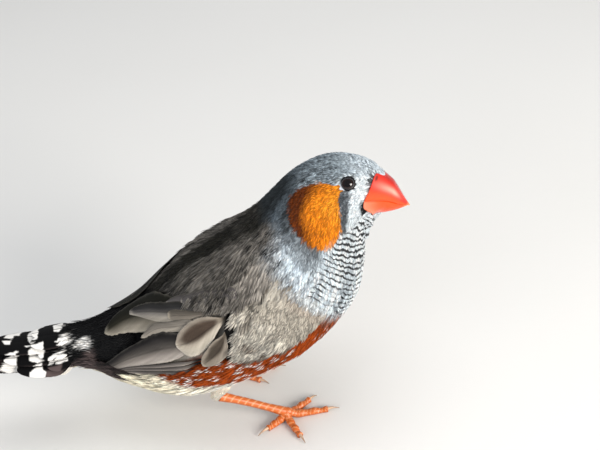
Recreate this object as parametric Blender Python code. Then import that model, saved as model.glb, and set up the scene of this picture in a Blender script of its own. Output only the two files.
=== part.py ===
"""Male zebra finch, life size, standing low on both feet with its head cocked to the right.

Frame: +X is the way the bird faces, +Y its left side and +Z up, with the floor at z = 0.
Sizes below are in millimetres and are written to the meshes in metres.
The plumage is one lofted skin along the spine. Torso, neck and head are lengths of it, the wings lie in
shallow pockets of it, and the feathers of the wings and the tail are vanes laid in tiers on it.
"""

import math
from collections import namedtuple

import bmesh
import bpy
import numpy as np
from mathutils import Vector

MM = 0.001
GAP = 0.3

# Stations of the skin, from the tip of the tail's guide to the root of the bill. x and z are the section's
# centre, pitch is the way it faces, up and down are its half heights and wide its half width.
Station = namedtuple("Station", "name x z pitch up down wide")
STATIONS = [
    Station("tail_end", -64.0, 25.5, 2.0, 4.0, 4.0, 6.5),
    Station("tail_middle", -54.0, 24.2, 2.0, 4.6, 4.6, 6.6),
    Station("tail_root", -44.2, 24.4, 3.0, 4.8, 4.6, 5.8),
    Station("vent", -36.0, 23.0, 7.0, 8.6, 9.0, 9.2),
    Station("rump", -26.1, 22.8, 15.0, 13.0, 13.8, 12.8),
    Station("hind_belly", -17.0, 25.8, 24.0, 15.6, 16.2, 15.2),
    Station("belly", -8.2, 29.9, 31.0, 17.4, 17.8, 16.3),
    Station("breast", 0.5, 35.3, 37.0, 17.0, 18.2, 16.2),
    Station("shoulder", 9.0, 43.1, 43.0, 15.2, 16.6, 14.4),
    Station("throat", 13.5, 50.3, 44.0, 13.0, 13.6, 11.6),
    Station("nape", 16.7, 54.8, 37.0, 11.1, 11.3, 9.8),
    Station("cheek", 20.8, 57.6, 20.0, 8.8, 10.0, 8.9),
    Station("brow", 24.9, 57.8, 3.0, 6.7, 9.4, 7.6),
    Station("bill_root", 27.6, 56.2, -28.0, 4.8, 5.8, 5.3),
]
INDEX = {station.name: number for number, station in enumerate(STATIONS)}

# The head is cocked: the skin above the shoulder turns about a line through the upper neck.
HEAD_ROLL = 20.0
ROLL_PIVOT = np.array([16.0, 0.0, 52.0])
ROLL_PITCH = -8.0
ROLL_FROM = INDEX["breast"] + 0.6
ROLL_TO = INDEX["nape"] + 0.4

SIDES = {"left": 1.0, "right": -1.0}


def smooth(low, high, value):
    """0 below low, 1 above high and a smooth ramp between them."""
    share = np.clip((np.asarray(value, float) - low) / (high - low), 0.0, 1.0)
    return share * share * (3.0 - 2.0 * share)


def along(values, u):
    """The smooth curve through values, one at each whole number, read at u."""
    values = np.asarray(values, float)
    u = np.clip(np.asarray(u, float), 0.0, len(values) - 1.0)
    i = np.minimum(u.astype(int), len(values) - 2)
    t = u - i
    slope = np.gradient(values)
    a, b, ma, mb = values[i], values[i + 1], slope[i], slope[i + 1]
    t2, t3 = t * t, t * t * t
    return (2 * t3 - 3 * t2 + 1) * a + (t3 - 2 * t2 + t) * ma + (3 * t2 - 2 * t3) * b + (t3 - t2) * mb


def rolled(points, share=1.0):
    """Points turned with the cocked head, by the given share of its roll."""
    pitch = math.radians(ROLL_PITCH)
    axis = np.array([math.cos(pitch), 0.0, math.sin(pitch)])
    angle = -math.radians(HEAD_ROLL) * np.asarray(share, float)[..., None]
    arm = np.asarray(points, float) - ROLL_PIVOT
    turned = (
        arm * np.cos(angle)
        + np.cross(axis, arm) * np.sin(angle)
        + axis * (arm @ axis)[..., None] * (1.0 - np.cos(angle))
    )
    return turned + ROLL_PIVOT


def roll_share(u):
    """How much of the head's roll the skin takes at u."""
    return smooth(ROLL_FROM, ROLL_TO, u)


def skin(u, theta, lift=0.0):
    """Points of the plumage's surface. theta is 0 on the back and pi / 2 on the right side."""
    u, theta = np.broadcast_arrays(np.asarray(u, float), np.asarray(theta, float))
    x, z, pitch, up, down, wide = (
        along([getattr(s, name) for s in STATIONS], u) for name in ("x", "z", "pitch", "up", "down", "wide")
    )
    pitch = np.radians(pitch)
    rise = np.cos(theta)
    side = np.sin(theta)
    high = np.where(rise > 0.0, up, down)
    height = high * rise
    # The outward direction of the ellipse, for the lift.
    out_n = rise / np.maximum(high, 0.1)
    out_y = side / np.maximum(wide, 0.1)
    size = np.hypot(out_n, out_y)
    height = height + lift * out_n / size
    breadth = wide * side + lift * out_y / size
    points = np.stack([x - np.sin(pitch) * height, -breadth, z + np.cos(pitch) * height], -1)
    return rolled(points, roll_share(u))


# The outline of the wing's plate on the skin, as degrees from the back, at even steps from rear to bend.
# The pocket it lies in is cut by a plate that is a gap larger, and stands POCKET_RISE gaps over the skin.
WING_FROM = INDEX["tail_root"] + 1.2
WING_TO = INDEX["shoulder"] - 0.2
WING_TOP = [38.0, 26.0, 22.0, 26.0, 34.0, 54.0, 88.0]
WING_FOOT = [92.0, 93.0, 98.0, 104.0, 111.0, 115.0, 110.0]
WING_DEPTH = 2.2
POCKET_RISE = 8.0
WING_ROWS = 16
WING_COLUMNS = 7
STATION_STEP = 9.0


def wing_edges(u):
    """The wing's upper and lower edge at u, in radians from the back."""
    share = np.clip((np.asarray(u, float) - WING_FROM) / (WING_TO - WING_FROM), 0.0, 1.0)
    at = share * (len(WING_TOP) - 1)
    return np.radians(along(WING_TOP, at)), np.radians(along(WING_FOOT, at))


def clear_scene():
    """Removes what the file was opened with."""
    for item in list(bpy.data.objects):
        bpy.data.objects.remove(item)


def new_object(name, points, faces, collection):
    """A mesh object from points in millimetres and faces, with its normals made to face out."""
    mesh = bpy.data.meshes.new(name)
    mesh.from_pydata([tuple(p) for p in np.asarray(points, float) * MM], [], [tuple(f) for f in faces])
    made = bmesh.new()
    made.from_mesh(mesh)
    bmesh.ops.recalc_face_normals(made, faces=made.faces)
    made.to_mesh(mesh)
    made.free()
    obj = bpy.data.objects.new(name, mesh)
    collection.objects.link(obj)
    return obj


def ring_faces(rings, around):
    """Faces of a closed tube of rings, with one flat face at each end."""
    faces = [tuple(range(around))[::-1]]
    for ring in range(rings - 1):
        for i in range(around):
            j = (i + 1) % around
            a, b = ring * around + i, ring * around + j
            faces.append((a, b, b + around, a + around))
    faces.append(tuple((rings - 1) * around + i for i in range(around)))
    return faces


def loft_node(name, u_from, u_to, rings, around, collection, lift=0.0):
    """A length of the plumage between two sections, as one closed body."""
    theta = np.linspace(0.0, 2.0 * math.pi, around, endpoint=False)
    points = []
    for u in np.linspace(u_from, u_to, rings):
        points.append(skin(u, theta, lift))
    return new_object(name, np.concatenate(points), ring_faces(rings, around), collection)


def wing_plate(name, side, grow, collection):
    """The folded wing's plate, sunk into the plumage, or with grow the pocket that it lies in."""
    outer, inner = [], []
    reach = grow / STATION_STEP
    radii = [station.wide for station in STATIONS]
    for u in np.linspace(WING_FROM - reach, WING_TO + reach, WING_ROWS):
        top, foot = wing_edges(u)
        more = grow / along(radii, u)
        theta = np.linspace(top - more, foot + more, WING_COLUMNS) * -side
        outer.append(skin(u, theta, grow * POCKET_RISE))
        inner.append(skin(u, theta, -WING_DEPTH - grow))
    count = WING_ROWS * WING_COLUMNS
    faces = []
    for row in range(WING_ROWS - 1):
        for column in range(WING_COLUMNS - 1):
            a = row * WING_COLUMNS + column
            b = a + count
            faces += [(a, a + 1, a + WING_COLUMNS + 1), (a, a + WING_COLUMNS + 1, a + WING_COLUMNS)]
            faces += [(b, b + WING_COLUMNS + 1, b + 1), (b, b + WING_COLUMNS, b + WING_COLUMNS + 1)]
    last = (WING_ROWS - 1) * WING_COLUMNS
    rim = list(range(WING_COLUMNS))
    rim += [row * WING_COLUMNS + WING_COLUMNS - 1 for row in range(1, WING_ROWS)]
    rim += [last + column for column in range(WING_COLUMNS - 2, -1, -1)]
    rim += [row * WING_COLUMNS for row in range(WING_ROWS - 2, 0, -1)]
    for a, b in zip(rim, rim[1:] + rim[:1]):
        faces.append((a, b, b + count, a + count))
    return new_object(name, np.concatenate(outer + inner), faces, collection)


# A vane is a thin plate with a raised middle. Its half width, as a share of the largest, and its thickness,
# which thins from VANE_TIP_FROM on. Its root is sunk, and it reaches its height at VANE_OUT_AT.
VANE_STEPS = [0.0, 0.3, 0.66, 0.92, 1.0]
VANE_WIDTH = [0.5, 0.92, 1.0, 0.66, 0.18]
VANE_THICK = 0.56
VANE_TIP_THICK = 0.24
VANE_TIP_FROM = 0.8
VANE_LEAN = 0.24
VANE_ROOT_SUNK = 1.1
VANE_OUT_AT = 0.3


def vane(name, centres, normals, half_width, lean, bow, collection):
    """A feather's plate along centres. lean raises one edge, bow is the radius of its arched section."""
    centres, normals = np.asarray(centres, float), np.asarray(normals, float)
    forward = np.gradient(centres, axis=0)
    across = np.cross(normals, forward)
    across /= np.linalg.norm(across, axis=1)[:, None]
    normals = normals / np.linalg.norm(normals, axis=1)[:, None]
    points = []
    for centre, normal, aside, step, share in zip(centres, normals, across, VANE_STEPS, VANE_WIDTH):
        wide = half_width * share
        thick = VANE_THICK + (VANE_TIP_THICK - VANE_THICK) * smooth(VANE_TIP_FROM, 1.0, step)
        drop = wide * wide / (2.0 * bow)
        tops = [
            centre + aside * wide + normal * (lean * share - drop),
            centre,
            centre - aside * wide + normal * (-lean * share - drop),
        ]
        points += tops + [top - normal * thick for top in reversed(tops)]
    around = 6
    faces = []
    for ring_index in range(len(VANE_STEPS) - 1):
        a, b = ring_index * around, (ring_index + 1) * around
        for top, under in ((0, 5), (1, 4)):
            faces += [(a + top, a + top + 1, b + top + 1), (a + top, b + top + 1, b + top)]
            faces += [(a + under, b + under, b + under - 1), (a + under, b + under - 1, a + under - 1)]
        for one, two in ((2, 3), (5, 0)):
            faces += [(a + one, a + two, b + two), (a + one, b + two, b + one)]
    for end in (0, (len(VANE_STEPS) - 1) * around):
        faces += [(end, end + 1, end + 4, end + 5), (end + 1, end + 2, end + 3, end + 4)]
    return new_object(name, points, faces, collection)


# Rows of wing feathers. Each pair of numbers runs from the row's lowest feather to its uppermost: where the
# root and the tip lie on the skin, the half width, and how far the vane's face stands off the skin.
Row = namedtuple("Row", "name count root_u root_theta tip_u tip_theta half_width lift reach")
WING_ROWS_OF_VANES = [
    Row("primary", 6, (7.1, 5.9), (107.0, 72.0), (3.25, 3.1), (93.0, 73.0), (1.6, 3.2), (1.2, 1.3), 0.62),
    Row("tertial", 3, (5.9, 5.8), (58.0, 42.0), (3.0, 3.7), (33.0, 18.0), (4.2, 3.3), (1.45, 1.4), 0.0),
    Row("greater", 6, (6.55, 6.1), (96.0, 50.0), (5.3, 4.95), (104.0, 43.0), (2.5, 2.3), (1.55, 1.2), 0.0),
    Row("median", 5, (7.25, 6.9), (99.0, 68.0), (6.25, 6.0), (103.0, 62.0), (2.4, 2.1), (1.4, 1.0), 0.0),
    Row("alula", 2, (7.5, 7.45), (106.0, 98.0), (5.8, 6.1), (104.0, 96.0), (1.4, 1.6), (1.2, 1.35), 0.0),
]


def wing_vane(row, number, side, collection):
    """One feather of a row, lying on the skin with its root sunk in the wing's plate."""
    share = number / (row.count - 1)
    root_u, root_theta, tip_u, tip_theta, half_width, lift = (
        pair[0] + (pair[1] - pair[0]) * share
        for pair in (row.root_u, row.root_theta, row.tip_u, row.tip_theta, row.half_width, row.lift)
    )
    tip_u -= row.reach * math.sin(math.pi * share)
    steps = np.array(VANE_STEPS)
    u = root_u + (tip_u - root_u) * steps
    theta = np.radians(root_theta + (tip_theta - root_theta) * steps) * -side
    rise = lift - (lift + VANE_ROOT_SUNK) * (1.0 - smooth(0.0, VANE_OUT_AT, steps))
    centres = skin(u, theta, rise)
    normals = skin(u, theta, 1.0) - skin(u, theta, 0.0)
    bow = float(along([station.wide for station in STATIONS], u.mean()))
    return vane(f"{row.name}_{number}", centres, normals, half_width, VANE_LEAN * -side, bow, collection)


def join_all(obj, pieces):
    """Joins a collection of closed pieces to obj by one union, applies it and removes the pieces."""
    modifier = obj.modifiers.new("union", "BOOLEAN")
    modifier.operation = "UNION"
    modifier.solver = "MANIFOLD"
    modifier.operand_type = "COLLECTION"
    modifier.collection = pieces
    apply_modifiers(obj)
    for piece in list(pieces.objects):
        bpy.data.objects.remove(piece)
    bpy.data.collections.remove(pieces)
    keep_largest(obj)


def new_pieces(name):
    """A collection for the pieces that one union joins."""
    pieces = bpy.data.collections.new(name)
    bpy.context.scene.collection.children.link(pieces)
    return pieces


def wing_node(label, collection):
    """A folded wing: its plate, with the flight feathers and coverts in tiers."""
    side = SIDES[label]
    wing = wing_plate("wing_" + label, side, 0.0, collection)
    pieces = new_pieces("wing_feathers")
    for row in WING_ROWS_OF_VANES:
        for number in range(row.count):
            wing_vane(row, number, side, pieces)
    join_all(wing, pieces)
    return wing


# The bill, on the head's own plane before the head is cocked. The mouth runs from just before the head's
# front face to BILL_TIP, and each mandible is a row of arches standing on it.
BILL_TIP = np.array([34.3, 0.0, 51.9])
MOUTH_DROP = 1.0
Arch = namedtuple("Arch", "share culmen culmen_wide gonys gonys_wide")
ARCHES = [
    Arch(0.0, 4.8, 4.5, 4.1, 4.4),
    Arch(0.12, 4.75, 4.3, 4.0, 4.15),
    Arch(0.28, 4.3, 3.85, 3.6, 3.7),
    Arch(0.45, 3.4, 3.2, 3.0, 3.05),
    Arch(0.62, 2.4, 2.4, 2.25, 2.3),
    Arch(0.78, 1.45, 1.6, 1.45, 1.5),
    Arch(0.91, 0.72, 0.85, 0.7, 0.8),
    Arch(1.0, 0.22, 0.24, 0.2, 0.24),
]
BILL_END_PITCH = -32.0
BILL_SEGMENTS = 12
LOWER_BILL_LENGTH = 0.93
ARCH_FULLNESS = 0.85
# A nostril's place before, above and beside the mouth's root.
NOSTRIL_AT = (1.1, 2.8, 3.5)
NOSTRIL_RADIUS = 0.42
# How finely the balls are drawn, as segments and rings.
FINE_BALL = (16, 10)
JOINT_BALL = (12, 8)
SMALL_BALL = (10, 6)


def bill_section(share):
    """Centre, forward and upward direction of the bill at a share of the mouth's length."""
    root = STATIONS[INDEX["bill_root"]]
    pitch = math.radians(root.pitch + (BILL_END_PITCH - root.pitch) * share)
    forward = np.array([math.cos(pitch), 0.0, math.sin(pitch)])
    up = np.array([-math.sin(pitch), 0.0, math.cos(pitch)])
    lean = math.radians(root.pitch)
    start = np.array([root.x, 0.0, root.z]) + GAP * np.array([math.cos(lean), 0.0, math.sin(lean)])
    start = start - MOUTH_DROP * np.array([-math.sin(lean), 0.0, math.cos(lean)])
    return start + (BILL_TIP - start) * share, forward, up


def bill_half(name, sizes, way, length, collection):
    """One mandible: arched sections along the mouth, standing way (1 up, -1 down) from it."""
    points = []
    for arch, (high, wide) in zip(ARCHES, sizes):
        middle, _, up = bill_section(arch.share * length)
        for turn in np.linspace(0.0, math.pi, BILL_SEGMENTS):
            rise = GAP / 2.0 + high * math.sin(turn) ** ARCH_FULLNESS
            points.append(middle + up * way * rise + np.array([0.0, wide * math.cos(turn), 0.0]))
    points = rolled(np.array(points), np.ones(len(points)))
    return new_object(name, points, ring_faces(len(ARCHES), BILL_SEGMENTS), collection)


def bill_nodes(collection):
    """Both mandibles, with the mouth's line between them and a nostril on each side of the upper one."""
    culmen = [(arch.culmen, arch.culmen_wide) for arch in ARCHES]
    gonys = [(arch.gonys, arch.gonys_wide) for arch in ARCHES]
    upper = bill_half("bill_upper", culmen, 1.0, 1.0, collection)
    lower = bill_half("bill_lower", gonys, -1.0, LOWER_BILL_LENGTH, collection)
    middle, forward, up = bill_section(0.0)
    for side in SIDES.values():
        aside = np.array([0.0, side * NOSTRIL_AT[2], 0.0])
        place = middle + forward * NOSTRIL_AT[0] + up * NOSTRIL_AT[1] + aside
        cut(upper, ball("nostril", rolled(place, np.array(1.0)), NOSTRIL_RADIUS, collection, SMALL_BALL))
    keep_largest(upper)
    return [upper, lower]


# Eyes: where the ball's middle lies on the skin, how deep it sits and the lids round it.
EYE_U = INDEX["cheek"] + 0.14
EYE_THETA = 69.0
EYE_RADIUS = 2.3
EYE_DEPTH = 1.5
LID_RADIUS = 2.0
LID_THICK = 0.42
LID_HIGH = 0.1
LID_SEGMENTS = (18, 6)


def eye_place(side):
    """The eye's place on the skin and the way it looks."""
    theta = -side * math.radians(EYE_THETA)
    place = skin(EYE_U, theta, 0.0)
    return place, skin(EYE_U, theta, 1.0) - place


def eye_centre(side):
    """The middle of the eye's ball."""
    place, outward = eye_place(side)
    return place - outward * EYE_DEPTH


def head_node(collection):
    """The head, with a rim of lids round each eye's socket, and the eyes."""
    head = loft_node("head", NECK_END + HEAD_GAP, INDEX["bill_root"], HEAD_RINGS, AROUND, collection)
    eyes = []
    for label, side in SIDES.items():
        place, outward = eye_place(side)
        lids = ring("lids", place + outward * LID_HIGH, outward, LID_RADIUS, LID_THICK, collection)
        boolean(head, lids, "UNION")
        cut(head, ball("socket", eye_centre(side), EYE_RADIUS + GAP, collection))
        eyes.append(ball("eye_" + label, eye_centre(side), EYE_RADIUS, collection))
    keep_largest(head)
    return [head] + eyes


def ring(name, centre, axis, radius, thick, collection):
    """A torus about an axis."""
    bpy.ops.mesh.primitive_torus_add(
        major_radius=radius * MM,
        minor_radius=thick * MM,
        major_segments=LID_SEGMENTS[0],
        minor_segments=LID_SEGMENTS[1],
        location=tuple(np.asarray(centre) * MM),
        rotation=Vector(axis).to_track_quat("Z", "Y").to_euler(),
    )
    obj = bpy.context.object
    obj.name = name
    for other in list(obj.users_collection):
        other.objects.unlink(obj)
    collection.objects.link(obj)
    return obj


def ball(name, centre, radius, collection, fineness=FINE_BALL):
    """A sphere of the given radius in millimetres."""
    mesh = bpy.data.meshes.new(name)
    made = bmesh.new()
    bmesh.ops.create_uvsphere(made, u_segments=fineness[0], v_segments=fineness[1], radius=radius * MM)
    made.to_mesh(mesh)
    made.free()
    obj = bpy.data.objects.new(name, mesh)
    obj.location = np.asarray(centre) * MM
    collection.objects.link(obj)
    return obj


def cut(obj, cutter):
    """Cuts the cutter's shape from obj, and keeps the result as obj's own mesh."""
    boolean(obj, cutter, "DIFFERENCE")


def boolean(obj, other, operation, solver="EXACT"):
    """Joins other to obj or cuts it from obj, applies the result and removes other."""
    modifier = obj.modifiers.new(operation.lower(), "BOOLEAN")
    modifier.operation = operation
    modifier.solver = solver
    modifier.object = other
    apply_modifiers(obj)
    bpy.data.objects.remove(other)


def apply_modifiers(obj):
    """Replaces obj's mesh by its evaluated one."""
    bpy.context.view_layer.update()
    graph = bpy.context.evaluated_depsgraph_get()
    mesh = bpy.data.meshes.new_from_object(obj.evaluated_get(graph))
    obj.modifiers.clear()
    obj.data = mesh


def keep_largest(obj):
    """Keeps the largest closed surface of a node, and drops any scrap that a union left."""
    made = bmesh.new()
    made.from_mesh(obj.data)
    bmesh.ops.triangulate(made, faces=made.faces)
    made.faces.ensure_lookup_table()
    left = set(made.faces)
    shells = []
    while left:
        shell = {left.pop()}
        edge = list(shell)
        while edge:
            face = edge.pop()
            for near in {f for e in face.edges for f in e.link_faces}:
                if near in left:
                    left.discard(near)
                    shell.add(near)
                    edge.append(near)
        shells.append(shell)
    shells.sort(key=lambda faces: sum(f.calc_area() for f in faces))
    loose = [f for shell in shells[:-1] for f in shell]
    if loose:
        bmesh.ops.delete(made, geom=loose, context="FACES")
        alone = [v for v in made.verts if not v.link_faces]
        bmesh.ops.delete(made, geom=alone, context="VERTS")
    made.to_mesh(obj.data)
    made.free()


def limb(name, points, radii, collection, resolution=2):
    """A round limb through points in millimetres, thick as radii say, as a closed mesh."""
    curve = bpy.data.curves.new(name, "CURVE")
    curve.dimensions = "3D"
    curve.bevel_depth = MM
    curve.bevel_resolution = resolution
    curve.use_fill_caps = True
    spline = curve.splines.new("POLY")
    spline.points.add(len(points) - 1)
    for target, point, radius in zip(spline.points, points, radii):
        target.co = (*(np.asarray(point, float) * MM), 1.0)
        target.radius = radius
    shape = bpy.data.objects.new(name, curve)
    collection.objects.link(shape)
    bpy.context.view_layer.update()
    graph = bpy.context.evaluated_depsgraph_get()
    mesh = bpy.data.meshes.new_from_object(shape.evaluated_get(graph))
    bpy.data.objects.remove(shape)
    made = bmesh.new()
    made.from_mesh(mesh)
    bmesh.ops.remove_doubles(made, verts=made.verts, dist=1e-6)
    bmesh.ops.recalc_face_normals(made, faces=made.faces)
    made.to_mesh(mesh)
    made.free()
    obj = bpy.data.objects.new(name, mesh)
    collection.objects.link(obj)
    return obj


def smooth_line(points, count):
    """count points on the smooth curve through points."""
    points = np.asarray(points, float)
    at = np.linspace(0.0, len(points) - 1.0, count)
    return np.stack([along(points[:, axis], at) for axis in range(3)], -1)


# Legs. The heel is low and the shank slopes down to the foot. Toes: name, way it points in degrees from
# forwards to the bird's outer side, length without the claw, claw length and its thickness at the root.
HEEL = np.array([-14.6, 9.0, 10.2])
FOOT = np.array([0.2, 9.0, 2.3])
FOOT_RADIUS = 1.35
SHANK_RADIUS = (1.35, 1.1, 1.0, 1.3)
SHANK_RADIUS_AT = (0.0, 0.25, 0.75, 1.0)
SHANK_POINTS = 7
# The shank bows upwards: its middle point's share of the way down, and its rise over the straight line.
SHANK_BOW = (0.45, 0.25)
Toe = namedtuple("Toe", "name way length claw root")
TOES = [
    Toe("inner", -38.0, 7.6, 3.0, 1.05),
    Toe("middle", -4.0, 10.2, 3.4, 1.15),
    Toe("outer", 67.0, 7.4, 3.0, 1.05),
    Toe("hind", 146.0, 5.6, 3.6, 1.15),
]
TOE_TIP = 0.72
TOE_POINTS = 7
TOE_DOWN_AT = 0.32
KNUCKLES = 3
KNUCKLE = 0.14
KNUCKLE_AT_ROOT = 0.4
FLAT = 0.16
# The claw's curve: shares of its length, with its radius and its height over the toe's tip at each.
CLAW_STEPS = ((0.3, 0.5, 0.28), (0.7, 0.34, 0.05), (1.0, 0.16, -0.38))
# Half the size, and the depth, of the block that cuts the soles flat.
SOLE_CUT = (60.0, 20.0)


def foot_point(side, shift):
    """The root of the toes, with the foot moved forwards by shift."""
    return np.array([FOOT[0] + shift, side * FOOT[1], FOOT[2]])


def toe_line(toe, side, base):
    """Points and radii of a toe and its claw, lying on the floor from the foot's root."""
    way = math.radians(toe.way)
    ahead = np.array([math.cos(way), side * math.sin(way), 0.0])
    low = toe.root - FLAT
    points, radii = [], []
    for share in np.linspace(0.0, 1.0, TOE_POINTS):
        radius = toe.root + (TOE_TIP - toe.root) * share
        swell = KNUCKLE_AT_ROOT + (1.0 - KNUCKLE_AT_ROOT) * share
        radius += KNUCKLE * math.cos(share * KNUCKLES * 2.0 * math.pi) * swell
        height = radius - FLAT
        height += (base[2] - low) * (1.0 - smooth(0.0, TOE_DOWN_AT, share))
        points.append(base * [1, 1, 0] + ahead * toe.length * share + np.array([0, 0, height]))
        radii.append(radius)
    end = points[-1]
    for share, radius, height in CLAW_STEPS:
        points.append(end + ahead * toe.claw * share + np.array([0.0, 0.0, height]))
        radii.append(radius)
    return points, radii


def foot_node(name, side, shift, turn, collection):
    """A foot: four toes with their claws, joined at the root and flat where they stand."""
    base = foot_point(side, shift)
    foot = ball(name, base, FOOT_RADIUS, collection, JOINT_BALL)
    for toe in TOES:
        turned = toe._replace(way=toe.way + turn)
        points, radii = toe_line(turned, side, base)
        piece = limb(name + "_" + toe.name, points, radii, collection)
        boolean(foot, piece, "UNION")
    reach, deep = SOLE_CUT
    cut(foot, box("under", (-reach, -reach, -deep), (reach, reach, 0.0), collection))
    keep_largest(foot)
    return foot


def box(name, low, high, collection):
    """A plain block between two corners in millimetres."""
    mesh = bpy.data.meshes.new(name)
    made = bmesh.new()
    bmesh.ops.create_cube(made, size=1.0)
    low, high = np.array(low, float), np.array(high, float)
    for vert in made.verts:
        vert.co = (low + (np.array(vert.co) + 0.5) * (high - low)) * MM
    made.to_mesh(mesh)
    made.free()
    obj = bpy.data.objects.new(name, mesh)
    collection.objects.link(obj)
    return obj


# How far back of the right foot each foot stands, and how much its toes turn outwards.
FEET = {"left": (-12.0, 5.0), "right": (0.0, 0.0)}
# The thigh's line from the knee to just behind the heel, forwards, outwards and up from the heel, and its
# radius at each of those points.
THIGH_LINE = ((4.0, -2.6, 7.6), (0.2, -0.6, 2.9), (-3.2, 0.0, 0.3))
THIGH_RADII = (4.6, 2.4, 1.05)
THIGH_POINTS = 6


def leg_nodes(label, collection):
    """Thigh, shank and foot of one leg, with a clear gap where each meets the next."""
    side = SIDES[label]
    shift, turn = FEET[label]
    base = foot_point(side, shift)
    heel = np.array([HEEL[0] + shift, side * HEEL[1], HEEL[2]])
    foot = foot_node("foot_" + label, side, shift, turn, collection)
    bow_at, bow_rise = SHANK_BOW
    line = smooth_line([heel, heel + (base - heel) * bow_at + [0.0, 0.0, bow_rise], base], SHANK_POINTS)
    radii = np.interp(np.linspace(0.0, 1.0, SHANK_POINTS), SHANK_RADIUS_AT, SHANK_RADIUS)
    shank = limb("shank_" + label, line, radii, collection, 3)
    cut(shank, ball("clear", base, FOOT_RADIUS + GAP, collection, JOINT_BALL))
    hind_line, hind_radii = toe_line(TOES[-1]._replace(way=TOES[-1].way + turn), side, base)
    cut(shank, limb("clear", hind_line, np.array(hind_radii) + GAP, collection))
    keep_largest(shank)
    # The feathered thigh leaves the belly above the heel.
    thigh_line = smooth_line([heel + np.array(step) * (1.0, side, 1.0) for step in THIGH_LINE], THIGH_POINTS)
    thigh_radii = np.interp(np.linspace(0.0, 2.0, THIGH_POINTS), range(len(THIGH_RADII)), THIGH_RADII)
    thigh = limb("thigh_" + label, thigh_line, thigh_radii, collection, 3)
    cut(thigh, loft_node("clear", INDEX["tail_root"], TORSO_END, TORSO_RINGS, AROUND, collection, GAP))
    cut(thigh, limb("clear", line, np.asarray(radii) + GAP, collection, 3))
    keep_largest(thigh)
    return [thigh, shank, foot]


# Where torso, neck and head are parted, and how finely the plumage is drawn.
TORSO_END = INDEX["shoulder"] + 0.1
NECK_END = INDEX["throat"] + 0.45
NECK_GAP = 0.05
HEAD_GAP = 0.08
TORSO_RINGS = 26
NECK_RINGS = 7
HEAD_RINGS = 16
AROUND = 32


def torso_node(collection):
    """The torso, with a pocket for each folded wing."""
    torso = loft_node("torso", INDEX["tail_root"], TORSO_END, TORSO_RINGS, AROUND, collection)
    for side in SIDES.values():
        cut(torso, wing_plate("pocket", side, GAP, collection))
    keep_largest(torso)
    return torso


# The tail: rows of feathers with their roots in one block. Each pair runs from the middle feather of a side
# to the outermost: where it sits across the tail, its height, its turn outwards in degrees, its tip's x and
# its half width.
TAIL_BLOCK = [(-44.5, 5.4, 4.2), (-47.0, 5.2, 3.6), (-50.0, 4.4, 2.2), (-52.0, 2.4, 1.0)]
TAIL_AROUND = 16
TAIL_ROOT_X = -45.7
TAIL_Z = 24.6
# The feathers' roots draw together, by TAIL_ROOT_SPREAD across and TAIL_ROOT_DIP in height, and spread out
# over the first part of their length. The outer ones tilt, and all are arched to a radius.
TAIL_ROOT_SPREAD = 0.55
TAIL_ROOT_DIP = 0.25
TAIL_SPREAD_AT = 0.3
TAIL_DIP_AT = 0.25
TAIL_TILT = 0.06
TAIL_BOW = 11.0
TailRow = namedtuple("TailRow", "name pairs across height turn tip_x half_width rise")
TAIL_ROWS = [
    TailRow("rectrix", 6, (1.1, 3.2), (0.1, -2.1), (0.1, 0.9), (-77.0, -71.5), (2.8, 2.5), 2.4),
    TailRow("upper_long", 3, (1.6, 5.9), (1.9, -1.5), (-0.4, 0.4), (-66.0, -60.0), (2.7, 2.6), 0.7),
    TailRow("upper_short", 3, (1.6, 5.8), (3.7, 0.4), (0.4, 2.0), (-56.5, -53.0), (2.8, 2.4), -0.8),
    TailRow("under", 2, (1.5, 4.6), (-3.2, -2.7), (0.0, 1.0), (-60.0, -57.0), (2.8, 2.4), 1.3),
]


def tail_vane(row, number, side, collection):
    """One feather of the tail, straight and nearly level."""
    share = number / (row.pairs - 1)
    across, height, turn, tip_x, half_width = (
        pair[0] + (pair[1] - pair[0]) * share
        for pair in (row.across, row.height, row.turn, row.tip_x, row.half_width)
    )
    steps = np.array(VANE_STEPS)
    x = TAIL_ROOT_X + (tip_x - TAIL_ROOT_X) * steps
    y = side * (across + (TAIL_ROOT_X - x) * math.tan(math.radians(turn)))
    z = TAIL_Z + height + row.rise * steps
    # Above the block the roots dip into it, and under it they rise into it.
    z = z - TAIL_ROOT_DIP * height * (1.0 - smooth(0.0, TAIL_DIP_AT, steps))
    y = y * (TAIL_ROOT_SPREAD + (1.0 - TAIL_ROOT_SPREAD) * smooth(0.0, TAIL_SPREAD_AT, steps))
    centres = np.stack([x, y, z], -1)
    normals = np.tile([0.0, side * TAIL_TILT * across, 1.0], (len(steps), 1))
    lean = -VANE_LEAN * side
    return vane(f"{row.name}_{number}", centres, normals, half_width, lean, TAIL_BOW, collection)


def tail_node(collection):
    """The tail: a short block of quills, with feathers fanned from it in tiers."""
    points = []
    for x, wide, high in TAIL_BLOCK:
        for turn in np.linspace(0.0, 2.0 * math.pi, TAIL_AROUND, endpoint=False):
            points.append([x, wide * math.cos(turn), TAIL_Z + high * math.sin(turn)])
    tail = new_object("tail", points, ring_faces(len(TAIL_BLOCK), TAIL_AROUND), collection)
    pieces = new_pieces("tail_feathers")
    for row in TAIL_ROWS:
        for number in range(row.pairs):
            for side in SIDES.values():
                tail_vane(row, number, side, pieces)
    join_all(tail, pieces)
    return tail


# Edges sharper than this angle in degrees keep their crease.
SHARP_ANGLE = 40.0
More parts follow.
